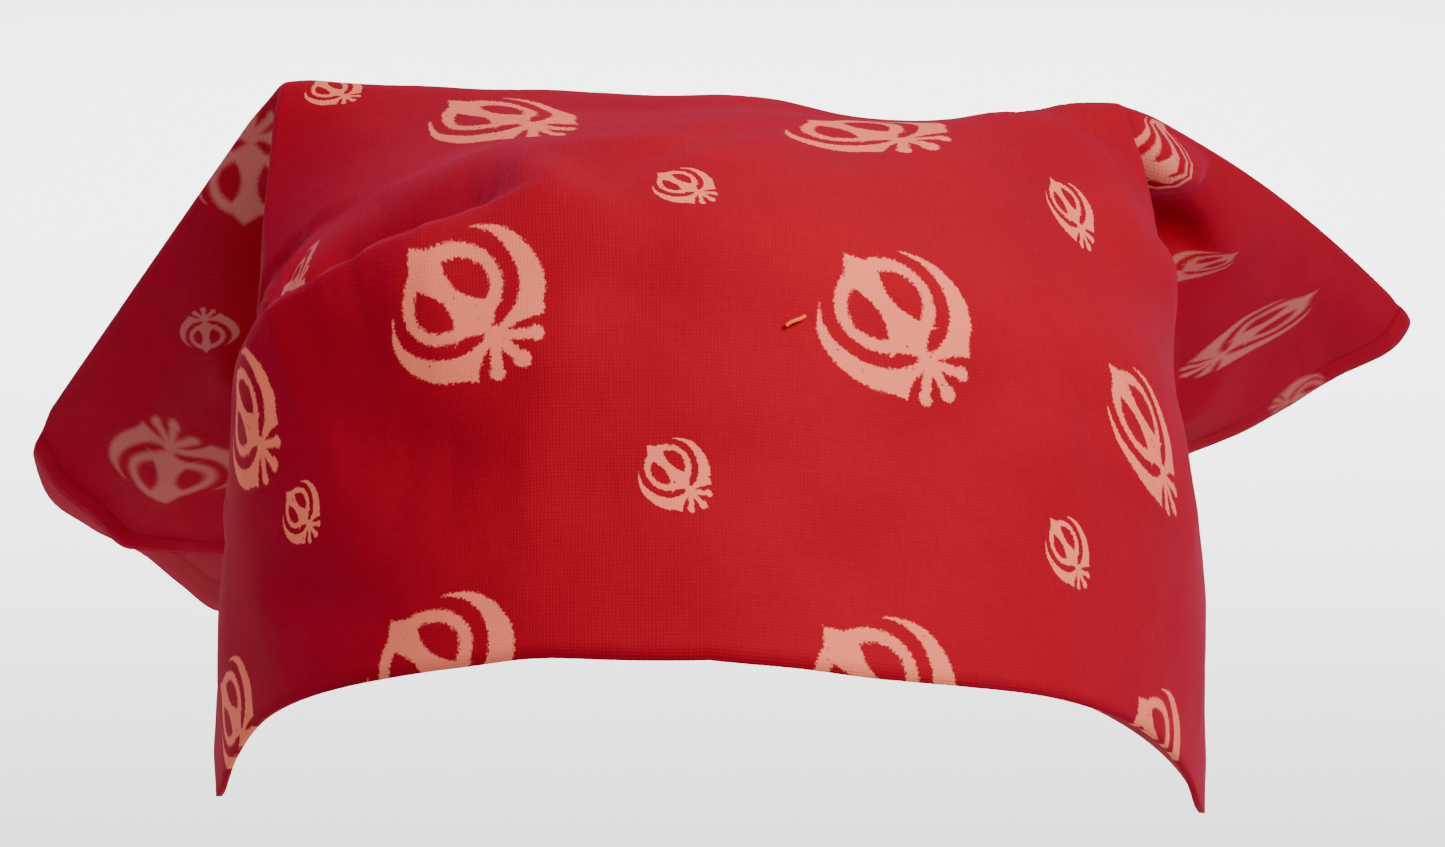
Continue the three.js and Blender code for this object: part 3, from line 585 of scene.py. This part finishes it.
class Tint(Signal):
    """A colour, which mixes with others."""

    def mix(self, other: Tint | Row, share: Field) -> Tint:
        """Returns this colour, with other in its place where share is 1."""
        values = {0: share, 6: self, 7: other}
        node = new_node(self.tree, "ShaderNodeMix", data_type="RGBA", inputs=values)
        return Tint(self.tree, node.outputs[2])


def layer(tree: NodeTree, name: str) -> Place:
    """Returns the coordinates of one of the mesh's layers."""
    return Place(tree, new_node(tree, "ShaderNodeUVMap", uv_map=name).outputs[0])


def even(tree: NodeTree, colour: Row) -> Tint:
    """Returns one colour all over."""
    tint = Tint(tree, new_node(tree, "ShaderNodeRGB").outputs[0])
    tint.socket.default_value = colour
    return tint


def new_material(name: str, values: dict[str, Any]) -> tuple[Material, Node]:
    """Adds a material.

    Args:
        name: its name.
        values: what its shader's sockets are set to.

    Returns:
        The material and its shader.
    """
    material = bpy.data.materials.new(name)
    material.use_nodes = True
    shader = material.node_tree.nodes["Principled BSDF"]
    for key, value in values.items():
        shader.inputs[key].default_value = value
    return material, shader


def add_object(name: str, data: ID) -> Object:
    """Puts the data into the scene as an object of that name, and returns it."""
    made = bpy.data.objects.new(name, data)
    bpy.context.collection.objects.link(made)
    return made


class EmblemShape:
    """The print's outline, as distances in millimetres from its ring's centre: negative inside."""

    def __init__(self, x: Field, y: Field) -> None:
        """Takes the place in the emblem: y towards its tip."""
        self.x, self.y = abs(x), y

    def ellipse(self, cy: float, across: float, along: float) -> Field:
        """Returns the distance to an ellipse on the middle line."""
        a, b = self.x / across, (self.y - cy) / along
        return ((a * a + b * b).root() - 1.0) * min(across, along)

    def disc(self, cx: float, cy: float, radius: float, x: Field | None = None) -> Field:
        """Returns the distance to a disc, and to its mirror image. x may be bent beforehand."""
        a, b = (x or self.x) - cx, self.y - cy
        return (a * a + b * b).root() - radius

    def bar(self, start: tuple[float, float], end: tuple[float, float], radius: float) -> Field:
        """Returns the distance to a round bar between two points, and to its mirror image."""
        dx, dy = end[0] - start[0], end[1] - start[1]
        long = dx * dx + dy * dy
        a, b = self.x - start[0], self.y - start[1]
        t = ((a * dx + b * dy) / long).most(0.0).least(1.0)
        c, d = a - t * dx, b - t * dy
        return (c * c + d * d).root() - radius

    def distance(self) -> Field:
        """Returns the distance to the whole print."""
        x, y = self.x, self.y
        ring = self.ellipse(-0.4, 7.4, 5.8).most(-self.ellipse(-0.4, 5.75, 4.05))
        blade = (x - (y * y * 0.1 + 1.3)).most((x - (6.95 - y) * 1.12) * 0.67, -5.6 - y)
        base = (x - 2.7).most((x - (2.6 + (y + 5.9) * 1.4)) * 0.6, y + 3.9, -7.6 - y)
        hooked = x + (y + 0.5).most(0.0) ** 2 * 0.07
        butt = ((x - 10.46) * 0.75 - (y + 6.05) * 0.66).most(y + 5.8)
        outside = self.disc(3.41, -2.15, 8.22, hooked).least(butt)
        hilt = -9.0 - (x - 1.0) ** 2 * 0.064 - y
        crescent = outside.most(-self.disc(1.56, 0.34, 8.14, hooked), hilt, 0.7 - x, (y - 3.7) * 0.9)
        hub = self.disc(0.0, -8.6, 1.55)
        stalk = self.bar((0.0, -8.6), (0.0, -13.0), 0.75).least(self.disc(0.0, -13.0, 1.15))
        arm = self.bar((0.4, -8.9), (3.7, -11.9), 0.68).least(self.disc(3.7, -11.9, 0.98))
        return ring.least(blade, base, crescent, hub, stalk, arm)


@dataclass(frozen=True)
class CottonFinish:
    """Plain woven cotton, printed on its face where it has a print's tint. Lengths are in millimetres."""

    name: str
    base: Row
    deep: Row
    print_tint: Row | None = None
    # the grey that prints turn towards as their strength drops: painted shade on prints in shadow
    shaded_print_tint: Row = (0.45, 0.34, 0.34, 1.0)
    roughness: float = 0.86
    specular: float = 0.05
    sheen: float = 0.11
    sheen_roughness: float = 0.5
    sheen_tint: Row = (1.0, 0.04, 0.34, 1.0)
    thread: float = 0.5
    bump: float = 0.16
    bump_depth: float = 0.3
    # half width of the hem's edge line, which is darkened as painted shade and pressed in by the bump
    hem_line_half: float = 1.0
    print_edge: float = 0.16
    grain: float = 3.6

    def build(self) -> Material:
        """Returns the material."""
        material, shader = new_material(self.name, {
            "Sheen Weight": self.sheen, "Sheen Roughness": self.sheen_roughness,
            "Sheen Tint": self.sheen_tint, "Specular IOR Level": self.specular})
        tree = material.node_tree
        uv = layer(tree, "Cloth")
        u, v = uv.parts()
        step = math.pi / self.thread
        weave = abs((u * step).sine()) * abs((v * step).sine()) * 2.0 - 1.0
        threads = (uv * (0.35, 4.0, 1.0)).noise(0.8) + (uv * (4.0, 0.35, 1.0)).noise(0.8)
        worn = (uv.noise(0.045, 3.0) * 0.7 + threads * 0.45 - 0.35).ramp(0.0, 1.0) * 0.55
        hem, _ = layer(tree, "Hem").parts()
        # the line where the turned hem ends: darkened below as painted shade of its step and groove, which
        # the mesh is too coarse to shade, and pressed in by the bump
        hem_line_groove_and_shade = abs(hem - HEM_WIDTH).ramp(self.hem_line_half, self.hem_line_half / 4)
        colour = even(tree, self.base)
        # darker in random worn patches and in the weave's gaps, and along the hem's edge line as painted
        # shade
        for share in (worn, (-weave).ramp(0.1, 1.0) * 0.24, hem_line_groove_and_shade * 0.7):
            colour = colour.mix(self.deep, share)
        if self.print_tint:
            ink, strength = self.ink(uv, weave)
            # where a print's strength is below 1 its colour turns towards that grey: painted shade on prints
            # in shadow
            print_colour_and_shade = even(tree, self.print_tint).mix(self.shaded_print_tint, 1.0 - strength)
            colour = colour.mix(print_colour_and_shade, ink)
        rough = self.roughness + (threads - 1.0) * 0.1
        height = weave * 0.5 + threads * 0.5 - hem_line_groove_and_shade * 4.0
        bump = new_node(tree, "ShaderNodeBump", inputs={
            "Height": height, "Strength": self.bump, "Distance": self.bump_depth * MM})
        driven = {"Base Color": colour.socket, "Roughness": rough.socket, "Normal": bump.outputs[0]}
        for name, socket in driven.items():
            tree.links.new(socket, shader.inputs[name])
        return material

    def ink(self, uv: Place, weave: Field) -> tuple[Field, Field]:
        """Returns how much of the print's paste lies on the cloth, and how thick it is, from 0 to 1."""
        shape = EmblemShape(*layer(uv.tree, "Emblem").parts()).distance()
        strength, blur = layer(uv.tree, "PrintShadeAndBlur").parts()
        cell = (uv * (self.grain, self.grain, 1.0)).floor().speckle()
        ragged = (cell - 0.5) * 0.24 + (uv.noise(1.9) - 0.5) * 0.6
        covered = ((shape + ragged) / (blur + self.print_edge)).ramp(1.0, -1.0)
        starved = (uv.noise(0.55, 4.0) - 0.5).ramp(0.17, 0.26) * cell.ramp(0.2, 0.9)
        chipped = (uv * (3.1, 3.1, 1.0)).floor().speckle().ramp(0.9965, 0.998)
        fade = 1.0 - starved * 0.45 - chipped * 0.8 - (-weave).ramp(0.2, 1.0) * 0.1
        return covered * fade * strength, strength


@dataclass
class Cloth:
    """The whole printed cloth, from the brow edge over the roof to the hems."""

    map: ClothMap = field(default_factory=ClothMap)
    thickness: float = 0.9
    hem_extra: float = 0.9
    rows: int = 66
    name: str = "rumal_cloth"

    def angles(self) -> Array:
        """Returns the angle stations, closer together in front and at the wings' ridges."""
        spans = ((-172, -100, 34), (-100, -78, 20), (-78, -62, 36), (-62, -20, 62), (-20, 20, 48),
                 (20, 62, 62), (62, 80, 40), (80, 100, 18), (100, 172, 34))
        parts = [np.linspace(a, b, n, endpoint=False) for a, b, n in spans]
        return np.concatenate([*parts, [172.0]])

    def heights(self) -> Array:
        """Returns the height stations."""
        front = np.linspace(0, 1, self.rows, endpoint=False)
        return np.concatenate([front, 1 + np.linspace(0, 1, self.rows + 1)])

    @staticmethod
    def normals(points: Array) -> Array:
        """Returns the outward normals of a grid of points."""
        return unit(np.cross(np.gradient(points, axis=0), np.gradient(points, axis=1)))

    @staticmethod
    def softened(points: Array, angle: Array, height: Array) -> Array:
        """Returns the grid with its ridges, corners and wing tips rounded, and one kink smoothed away."""
        beside = from_ridge(angle)
        ridge = bell(beside, 0.9) * smooth(height, 0.9, 1.0)
        corner = bell(beside, 3.0) * (1 - smooth(np.abs(height - 1), 0.0, 0.05))
        tip = bell(beside, 3.0) * smooth(height, 1.9, 1.98)
        kink = bell(angle + 64.0, 3.5) * bell(height - 0.69, 0.09)
        for weight, passes in ((ridge, 1), (corner, 3), (tip, 9), (kink, 12)):
            for _ in range(passes):
                padded = np.pad(points, ((1, 1), (1, 1), (0, 0)), "edge")
                around = padded[:-2, 1:-1] + padded[2:, 1:-1]
                mean = (around + padded[1:-1, :-2] + padded[1:-1, 2:]) / 4
                mean[:, [0, -1]] = around[:, [0, -1]] / 2
                points = points + 0.5 * weight[..., None] * (mean - points)
        rise = np.where(angle < 0, LEFT_RIDGE_LIFT, RIGHT_RIDGE_LIFT)
        lift = bell(beside, 2.5) * smooth(height, 1.0, 1.12) * rise
        lift += NAPE_LIFT * bell(angle - NAPE_LIFT_ANGLE, 22.0) * (1 - smooth(height, 0.0, 0.6))
        return points + lift[..., None] * np.array([0.0, 0.0, 1.0])

    def creased(self, points: Array, angle: Array, height: Array) -> Array:
        """Returns the grid with the fine folds pressed into it."""
        normal = self.normals(points)
        moved = points.copy()
        fade = smooth(height, 0.0, 0.06)
        gathers = []
        for a0, h0, a1, h1, out in GATHERS:
            between = (a0 * 0.7 + a1 * 0.3, h0 * 0.7 + h1 * 0.3, out * 0.8)
            gathers.append(Crease("gather", ((a0, h0, 0.0), between, (a1, h1, out)), 4.0, 4.0))
        for crease in (*CREASES, *gathers):
            moved += self.one_crease(crease, points, normal, angle, height) * fade[..., None]
        inward = np.sum((moved - points) * normal, -1)
        # behind the roof line no fold goes in further than to the cloth's other face
        share = np.where(np.abs(angle) > EAR_ANGLE, 1.15, 0.4)
        room = np.where(height > 1, np.maximum(share * from_ridge(angle) - 0.6, 0), FAR)
        return moved + normal * np.maximum(-inward - room, 0)[..., None]

    def one_crease(self, crease: Crease, points: Array, normal: Array, angle: Array, height: Array) -> Array:
        """Returns how far one crease moves each point of the grid."""
        rows = np.array(crease.rows, float)
        t = np.linspace(0, len(rows) - 1, SAMPLES * (len(rows) - 1) + 1)
        i = np.arange(len(rows))
        line_a, line_h, line_out = (np.interp(t, i, rows[:, k]) for k in range(3))
        line = self.map(line_a, line_h)
        tangent = unit(np.gradient(line, axis=0))
        shape = points.shape[:2]
        near = np.full(shape, 1e9)
        best = np.zeros(shape, int)
        for k, p in enumerate(line):
            d = np.linalg.norm(points - p, axis=-1)
            closer = d < near
            near = np.where(closer, d, near)
            best = np.where(closer, k, best)
        offset = points - line[best]
        upward = unit(np.cross(normal, tangent[best]))
        side = np.sum(offset * upward, -1)
        end = (best == 0) | (best == len(line) - 1)
        along = np.abs(np.sum(offset * tangent[best], -1)) * end
        span = np.hypot(side, along)
        width = np.where(side >= 0, crease.above, crease.below)
        power = np.where(side >= 0, crease.edge_above.value, crease.edge_below.value)
        fall = np.exp(-((span / width) ** power))
        if rows[:, 1].max() <= 1.0:
            region = height <= 1.02
        else:
            wing = np.abs(rows[:, 0]).mean() > EAR_ANGLE
            past = (np.abs(angle) - EAR_ANGLE) * (1 if wing else -1)
            region = smooth(height, 1.0, 1.06) * smooth(past, 0.0, 1.2)
        move = normal * (line_out[best] * fall * region)[..., None]
        if crease.lean:
            most = max(abs(rows[:, 2]).max(), 1e-6)
            lean = crease.lean * line_out[best] / most * bell(side + 1.5, crease.lean_width) * region
            move += upward * lean[..., None]
        return move

    def ripples(self, points: Array) -> Array:
        """Returns small uneven swellings of worn cotton, along the normals, in millimetres."""
        flat = points.reshape(-1, 3)
        swell = [sum(high * noise.noise(Vector(p * scale)) for high, scale in SWELLS) for p in flat]
        return np.array(swell).reshape(points.shape[:2])

    def emblem_places(self, points: Array, normal: Array, angle: Array, height: Array) -> tuple[Array, Array]:
        """Returns each print's anchor, and the two vectors that give a place's x and y in it."""
        anchors, frames = [], []
        for e in EMBLEMS:
            i = int(np.argmin(np.abs(angle[:, 0] - e.angle)))
            j = int(np.argmin(np.abs(height[0] - e.height)))
            a, b = max(i - 2, 0), min(i + 2, points.shape[0] - 1)
            n = normal[i, j]
            right = unit(points[b, j] - points[a, j])
            right = unit(right - n * np.dot(right, n))
            up = np.cross(n, right)
            turn, side = math.radians(e.turn), math.radians(e.turn + e.skew)
            ex = e.wide * (math.cos(side) * right + math.sin(side) * up)
            ey = e.long * (math.cos(turn) * up - math.sin(turn) * right)
            inverse = np.linalg.inv(np.column_stack([ex, ey, n]))
            anchors.append(points[i, j])
            frames.append(inverse[:2])
        return np.array(anchors), np.array(frames)

    def build(self, finishes: Sequence[Material]) -> Object:
        """Returns the cloth as one mesh with a printed face and a plain reverse."""
        angle, height = np.meshgrid(self.angles(), self.heights(), indexing="ij")
        base = self.softened(self.map(angle, height), angle, height)
        smoothed = self.normals(base)
        points = self.creased(base, angle, height)
        steady = smooth(height, 0.0, 0.08) * np.where(height > 1, smooth(from_ridge(angle), 1.0, 7.0), 1.0)
        points += smoothed * (self.ripples(base) * steady)[..., None]
        normal = self.normals(points)
        edge = np.linalg.norm(np.diff(points, axis=1), axis=-1)
        from_hem = np.flip(np.cumsum(np.flip(edge, 1), 1), 1)
        from_hem = np.concatenate([from_hem, np.zeros((from_hem.shape[0], 1))], 1)
        turned = 1 - smooth(from_hem, HEM_WIDTH - 0.8, HEM_WIDTH + 0.2)
        stitch = bell(from_hem - HEM_WIDTH + STITCH_INSET, STITCH_WIDTH)
        half = (self.thickness + turned * self.hem_extra - stitch * STITCH_DEPTH) / 2
        sides = [points + normal * half[..., None], points - normal * half[..., None]]
        count = angle.size
        grid = np.arange(count).reshape(angle.shape)
        a, b, c, d = grid[:-1, :-1], grid[1:, :-1], grid[1:, 1:], grid[:-1, 1:]
        face = np.stack([a, b, c, d], -1).reshape(-1, 4)
        back = np.stack([a, d, c, b], -1).reshape(-1, 4) + count
        loop = np.concatenate([grid[:-1, 0], grid[-1, :-1], grid[:0:-1, -1], grid[0, :0:-1]])
        follow = np.roll(loop, -1)
        rim = np.stack([loop, loop + count, follow + count, follow], -1)
        faces = np.concatenate([face, back, rim])
        verts = np.concatenate([side.reshape(-1, 3) for side in sides]) * MM
        mesh = bpy.data.meshes.new(self.name)
        mesh.from_pydata(verts.tolist(), [], faces.tolist())
        for finish in finishes:
            mesh.materials.append(finish)
        slots = np.repeat([0, 1, 0], [len(face), len(back), len(rim)])
        mesh.polygons.foreach_set("material_index", slots.tolist())
        mesh.polygons.foreach_set("use_smooth", [True] * len(faces))
        self.add_maps(mesh, faces, (angle, height), base, smoothed, from_hem)
        log.info("cloth: %d faces", len(faces))
        return add_object(self.name, mesh)

    @staticmethod
    def region(angle: Array, height: Array) -> Array:
        """Returns 0 for the front, 2 for the back, and -1 and 1 for the wings' fronts."""
        wing = np.where(angle < -EAR_ANGLE, -1, np.where(angle > EAR_ANGLE, 1, 2))
        return np.where(height <= 1, 0, wing)

    @staticmethod
    def both_sides(grid: Array) -> Array:
        """Returns the grid's values in a row, once for the face and once for the reverse."""
        flat = grid.reshape(-1, *grid.shape[2:])
        return np.concatenate([flat, flat])

    def nearest_prints(self, centre: Array, turned: Array, level: Array, anchors: Array,
                       frames: Array) -> tuple[Array, Array]:
        """Returns each face's nearest print on its own side of the roof line, and how far off it is.

        Args:
            centre, turned, level: the faces' middles, angles and heights.
            anchors, frames: the prints, from emblem_places.
        """
        angles, heights, floors = np.array([(e.angle, e.height, e.floor) for e in EMBLEMS]).T
        region, home = self.region(turned, level)[:, None], self.region(angles, heights)[None]
        away = centre[:, None, :] - anchors[None]
        inside = np.einsum("eij,fej->fei", frames, away)
        off = np.einsum("ej,fej->fe", unit(np.cross(frames[:, 0], frames[:, 1])), away)
        reach = np.sqrt(inside[..., 0] ** 2 + inside[..., 1] ** 2 + off**2)
        front_and_back = (region * home == 0) & (np.abs(region) + np.abs(home) == 2)
        apart = (region != home) & ~(front_and_back & (reach < ROOF_REACH))
        # the prints of the front stop at the cloth that turns back beside the ear
        apart |= (region == 0) & (np.abs(turned)[:, None] > 70) & (np.abs(angles)[None] < 62)
        reach = np.where(apart | (level[:, None] < floors[None]), FAR, reach)
        return np.argmin(reach, 1), reach.min(1)

    def add_maps(self, mesh: Mesh, faces: Array, place: tuple[Array, Array], base: Array,
                 normal: Array, from_hem: Array) -> None:
        """Adds the layers that the cotton reads, in millimetres.

        Args:
            mesh: the cloth.
            faces: its faces, as rows of four vertices.
            place: the angle and the height at each point of the grid.
            base: the grid's points before the fine folds.
            normal: their normals.
            from_hem: how far each lies from the hem, along the cloth.
        """
        angle, height = place
        across = np.linalg.norm(np.diff(base, axis=0), axis=-1)
        along = np.linalg.norm(np.diff(base, axis=1), axis=-1)
        u = np.concatenate([np.zeros((1, angle.shape[1])), np.cumsum(across, 0)], 0)
        u -= u[angle.shape[0] // 2][None, :]
        v = np.concatenate([np.zeros((angle.shape[0], 1)), np.cumsum(along, 1)], 1)
        anchors, frames = self.emblem_places(base, normal, angle, height)
        points = self.both_sides(base)
        corners = faces.reshape(-1)
        middles = (self.both_sides(grid)[faces].mean(1) for grid in (base, angle, height))
        nearest, reach = self.nearest_prints(*middles, anchors, frames)
        which = np.repeat(nearest, 4)
        offset = points[corners] - anchors[which]
        frame = frames[which]
        off = unit(np.cross(frame[:, 0], frame[:, 1]))
        flat = offset - off * np.sum(offset * off, -1, keepdims=True)
        stretch = np.linalg.norm(offset, axis=-1) / np.maximum(np.linalg.norm(flat, axis=-1), 1e-6)
        inside = np.einsum("nij,nj->ni", frame, offset) * np.clip(stretch, 1.0, MOST_STRETCH)[:, None]
        inside[np.repeat(reach > PRINT_REACH, 4)] = NO_PRINT
        layers = {
            "Cloth": self.both_sides(np.stack([u, v], -1))[corners],
            "Emblem": inside,
            "PrintShadeAndBlur": np.array([(e.strength, e.blur) for e in EMBLEMS])[which],
            "Hem": self.both_sides(np.stack([from_hem, from_hem], -1))[corners]}
        for name, data in layers.items():
            mesh.uv_layers.new(name=name).data.foreach_set("uv", data.reshape(-1).tolist())


def ring_mesh(name: str, rings: Sequence[Sequence[Vector]], material: Material) -> Object:
    """Builds a closed body.

    Args:
        name: the object's name.
        rings: rings of points in millimetres, each with as many points.
        material: its finish.

    Returns:
        The object, with a Cloth layer for the weave.
    """
    sides = len(rings[0])
    verts = [p for ring in rings for p in ring]
    verts += [sum(rings[0], Vector()) / sides, sum(rings[-1], Vector()) / sides]
    last = (len(rings) - 1) * sides
    faces: list[tuple[int, ...]] = []
    for i in range(sides):
        j = (i + 1) % sides
        for r in range(len(rings) - 1):
            a, b = r * sides + i, r * sides + j
            faces.append((a, b, b + sides, a + sides))
        faces.append((len(verts) - 2, j, i))
        faces.append((len(verts) - 1, last + i, last + j))
    mesh = bpy.data.meshes.new(name)
    mesh.from_pydata([tuple(p * MM) for p in verts], [], faces)
    mesh.materials.append(material)
    mesh.polygons.foreach_set("use_smooth", [True] * len(faces))
    coordinates = mesh.uv_layers.new(name="Cloth")
    for loop in mesh.loops:
        ring, turn = divmod(min(loop.vertex_index, last + sides - 1), sides)
        coordinates.data[loop.index].uv = (ring * 1.1, turn * 1.2)
    return add_object(name, mesh)


@dataclass
class Knot:
    """The lump where the two ends cross and are pulled tight."""

    centre: Array
    sides: int = 96
    steps: int = 64
    name: str = "wound_knot"

    def build(self, material: Material) -> Object:
        """Returns the knot, with the gathers of both ends winding round it."""
        rings = []
        for k in range(self.steps + 1):
            place = -1 + 2 * k / self.steps
            girth = 0.42 + 0.58 * max(math.cos(place * math.pi / 2), 0.0) ** 0.6
            ring = []
            for i in range(self.sides):
                turn = 2 * math.pi * i / self.sides
                wound = turn + place * 1.6 / 3
                size = girth * (1 - 0.07 * (1 + math.sin(3 * turn + place * 1.6)))
                fine = 0.03 * math.sin(9 * wound + 5 * place) + 0.018 * math.sin(17 * wound - 7 * place + 1)
                size *= 0.985 + fine * girth
                ring.append(Vector((
                    self.centre[0] + place * KNOT_HALF[0],
                    self.centre[1] + size * KNOT_HALF[1] * math.cos(turn),
                    self.centre[2] + size * KNOT_HALF[2] * math.sin(turn))))
            rings.append(ring)
        return ring_mesh(self.name, rings, material)


@dataclass
class TieEnd:
    """A free end of the cloth, from the knot to its corner."""

    side: int
    centre: Array
    name: str
    steps: int = 70
    around: int = 64

    def path(self, t: float) -> Vector:
        """Returns a point of the middle line, by its share of the way, in millimetres."""
        s = self.side
        start = Vector((s * 0.55 * KNOT_HALF[0], 0.91 * KNOT_HALF[1], -0.63 * KNOT_HALF[2]))
        start += Vector(self.centre.tolist())
        shares = (
            (0, 0, 0, 0), (0.15, 0.15, 0.01, 0.04), (0.425, 0.42, 0.015, 0.07),
            (0.725, 0.72, -0.03, 0.08), (1, 0.98, -0.12, 0.09))
        rows = [(at, *(start + Vector((s * a, b, -c)) * TIE_LENGTH)) for at, a, b, c in shares]
        return Vector(Curve(rows)(np.array(t)).tolist())

    def build(self, material: Material) -> Object:
        """Returns the tapering tail with its lengthwise pleats."""
        rings = []
        for k in range(self.steps + 1):
            t = k / self.steps
            centre = self.path(t)
            along = (self.path(min(t + 0.01, 1)) - self.path(max(t - 0.01, 0))).normalized()
            flat = (Vector((0, 1, 0)) - along * along.y).normalized()
            upright = along.cross(flat)
            half = TIE_WIDTH / 2 * min(0.30 + 1.6 * t, 1, 0.16 + 2.6 * (1 - t))
            ring = []
            for i in range(self.around):
                turn = 2 * math.pi * i / self.around
                ripple = 0.5 * TIE_WALL * math.sin(3 * math.sin(turn) + 5 * t) * math.sin(math.pi * t)
                pleat = 0.18 * math.sin(11 * math.sin(turn) + 2 * t) * (1 - t) ** 0.5
                thick = TIE_WALL / 2 * (0.9 - 0.3 * t) * math.cos(turn)
                ring.append(centre + upright * (half * math.sin(turn)) + flat * (thick + ripple + pleat))
            rings.append(ring)
        return ring_mesh(self.name, rings, material)


@dataclass
class StrayThread:
    """A short orange thread that clings to the front."""

    map: ClothMap
    angle: float = 8.5
    height: float = 0.283
    radius: float = 0.28
    lifts: Row = (0.75, 0.9, 1.05, 0.95, 0.8)
    name: str = "stray_thread"

    def build(self) -> Object:
        """Returns the thread as a thin tube."""
        start = self.map(np.array(self.angle - 0.95), np.array(self.height - 0.01))
        end = self.map(np.array(self.angle + 0.95), np.array(self.height + 0.01))
        out = np.array([0.1, -0.93, 0.35])
        curve = bpy.data.curves.new(self.name, "CURVE")
        curve.dimensions = "3D"
        curve.bevel_depth = self.radius * MM
        curve.bevel_resolution = 2
        spline = curve.splines.new("POLY")
        spline.points.add(len(self.lifts) - 1)
        for i, lift in enumerate(self.lifts):
            share = i / (len(self.lifts) - 1)
            p = start * (1 - share) + end * share + out * lift
            p = p + np.array([0, 0, 0.12 * math.sin(share * 6)])
            spline.points[i].co = (*(p * MM), 1.0)
        finish = {"Base Color": (0.85, 0.11, 0.003, 1.0), "Roughness": 0.7}
        curve.materials.append(new_material("orange_thread", finish)[0])
        return add_object(self.name, curve)


@dataclass
class Studio:
    """The pale floor, the soft lights and the camera, in metres."""

    floor_level: float = -0.45
    floor_half: float = 12.0
    lens: float = 82.04
    sensor: float = 36.0
    shift_x: float = 0.00934
    position: Row = (0.0, -0.52881, 0.14022)
    pitch: float = 76.0
    key_power: float = 4.0
    rim_power: float = 1.0
    backdrop_power: float = 240.0
    room_strength: float = 0.42

    def build(self) -> None:
        """Adds them all."""
        self.add_floor()
        self.add_camera()
        self.add_light(
            "key", "AREA", (0.25, -0.46, 0.40), (0.0, -0.03, 0.03), self.key_power, (1.0, 0.97, 0.95),
            shape="SQUARE", size=0.28, spread=math.radians(160.0))
        self.add_light(
            "rim", "SUN", (-0.3, 0.8, 0.7), (0.0, 0.0, 0.0), self.rim_power, (1.0, 0.95, 0.97),
            angle=math.radians(50.0))
        self.add_light(
            "backdrop", "AREA", (0.0, 3.2, 1.6), (0.0, 3.2, 0.0), self.backdrop_power, (1.0, 1.0, 1.0),
            shape="SQUARE", size=4.0, spread=math.radians(80.0))
        world = bpy.data.worlds.new("studio")
        world.use_nodes = True
        background = world.node_tree.nodes["Background"]
        background.inputs["Color"].default_value = (1.0, 0.98, 0.98, 1.0)
        background.inputs["Strength"].default_value = self.room_strength
        bpy.context.scene.world = world

    def add_floor(self) -> None:
        """Adds the floor, far enough below to stay out of the cloth's shadows."""
        mesh = bpy.data.meshes.new("floor")
        half, level = self.floor_half, self.floor_level
        corners = [(-half, -half, level), (half, -half, level), (half, half, level), (-half, half, level)]
        mesh.from_pydata(corners, [], [(0, 1, 2, 3)])
        floor = add_object("floor", mesh)
        finish = {"Base Color": (0.93, 0.93, 0.93, 1.0), "Roughness": 0.95, "Specular IOR Level": 0.1}
        mesh.materials.append(new_material("pale_floor", finish)[0])

    def add_camera(self) -> None:
        """Adds the camera where the photograph was taken from."""
        data = bpy.data.cameras.new("camera")
        data.lens, data.sensor_width, data.shift_x = self.lens, self.sensor, self.shift_x
        camera = add_object("camera", data)
        camera.location = self.position
        camera.rotation_euler = (math.radians(self.pitch), 0.0, 0.0)
        bpy.context.scene.camera = camera

    @staticmethod
    def add_light(name: str, kind: str, place: Row, target: Row, power: float, tint: Row,
                  **settings: Any) -> None:
        """Adds a soft light.

        Args:
            name: its name.
            kind: AREA or SUN.
            place, target: where it is, and where it shines.
            power, tint: its power and colour.
            **settings: its other properties.
        """
        data = bpy.data.lights.new(name, kind)
        data.energy, data.color = power, tint
        for key, value in settings.items():
            setattr(data, key, value)
        light = add_object(name, data)
        light.location = place
        light.rotation_euler = (Vector(target) - Vector(place)).to_track_quat("-Z", "Y").to_euler()


PRINTED = CottonFinish(
    "printed_cotton", (0.38, 0.003, 0.015, 1.0), (0.255, 0.0015, 0.009, 1.0), (1.0, 0.22, 0.13, 1.0))
REVERSE = CottonFinish("cotton_reverse", (0.46, 0.04, 0.06, 1.0), (0.37, 0.028, 0.045, 1.0))
KNOTTED = CottonFinish("knotted_cotton", (0.36, 0.005, 0.016, 1.0), (0.25, 0.003, 0.01, 1.0))


def main() -> None:
    """Builds the scene."""
    logging.basicConfig(level=logging.INFO, format="%(name)s: %(message)s")
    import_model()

    cloth = Cloth()
    printed, reverse, knotted = PRINTED.build(), REVERSE.build(), KNOTTED.build()
    body = cloth.build((printed, reverse))
    knot = Knot(cloth.map.knot).build(knotted)
    ends = {
        name: TieEnd(side, cloth.map.knot, f"pleated_{name}").build(knotted)
        for side, name in ((-1, "left_tie_end"), (1, "right_tie_end"))}
    thread = StrayThread(cloth.map).build()

    for piece in (body, knot, thread, *ends.values()):
        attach(piece, "root")
    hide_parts("crown", "left_wing", "right_wing", "back_fall")
    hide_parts("knot")
    for name, end in ends.items():
        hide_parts(name)

    Studio().build()


if __name__ == "__main__":
    main()
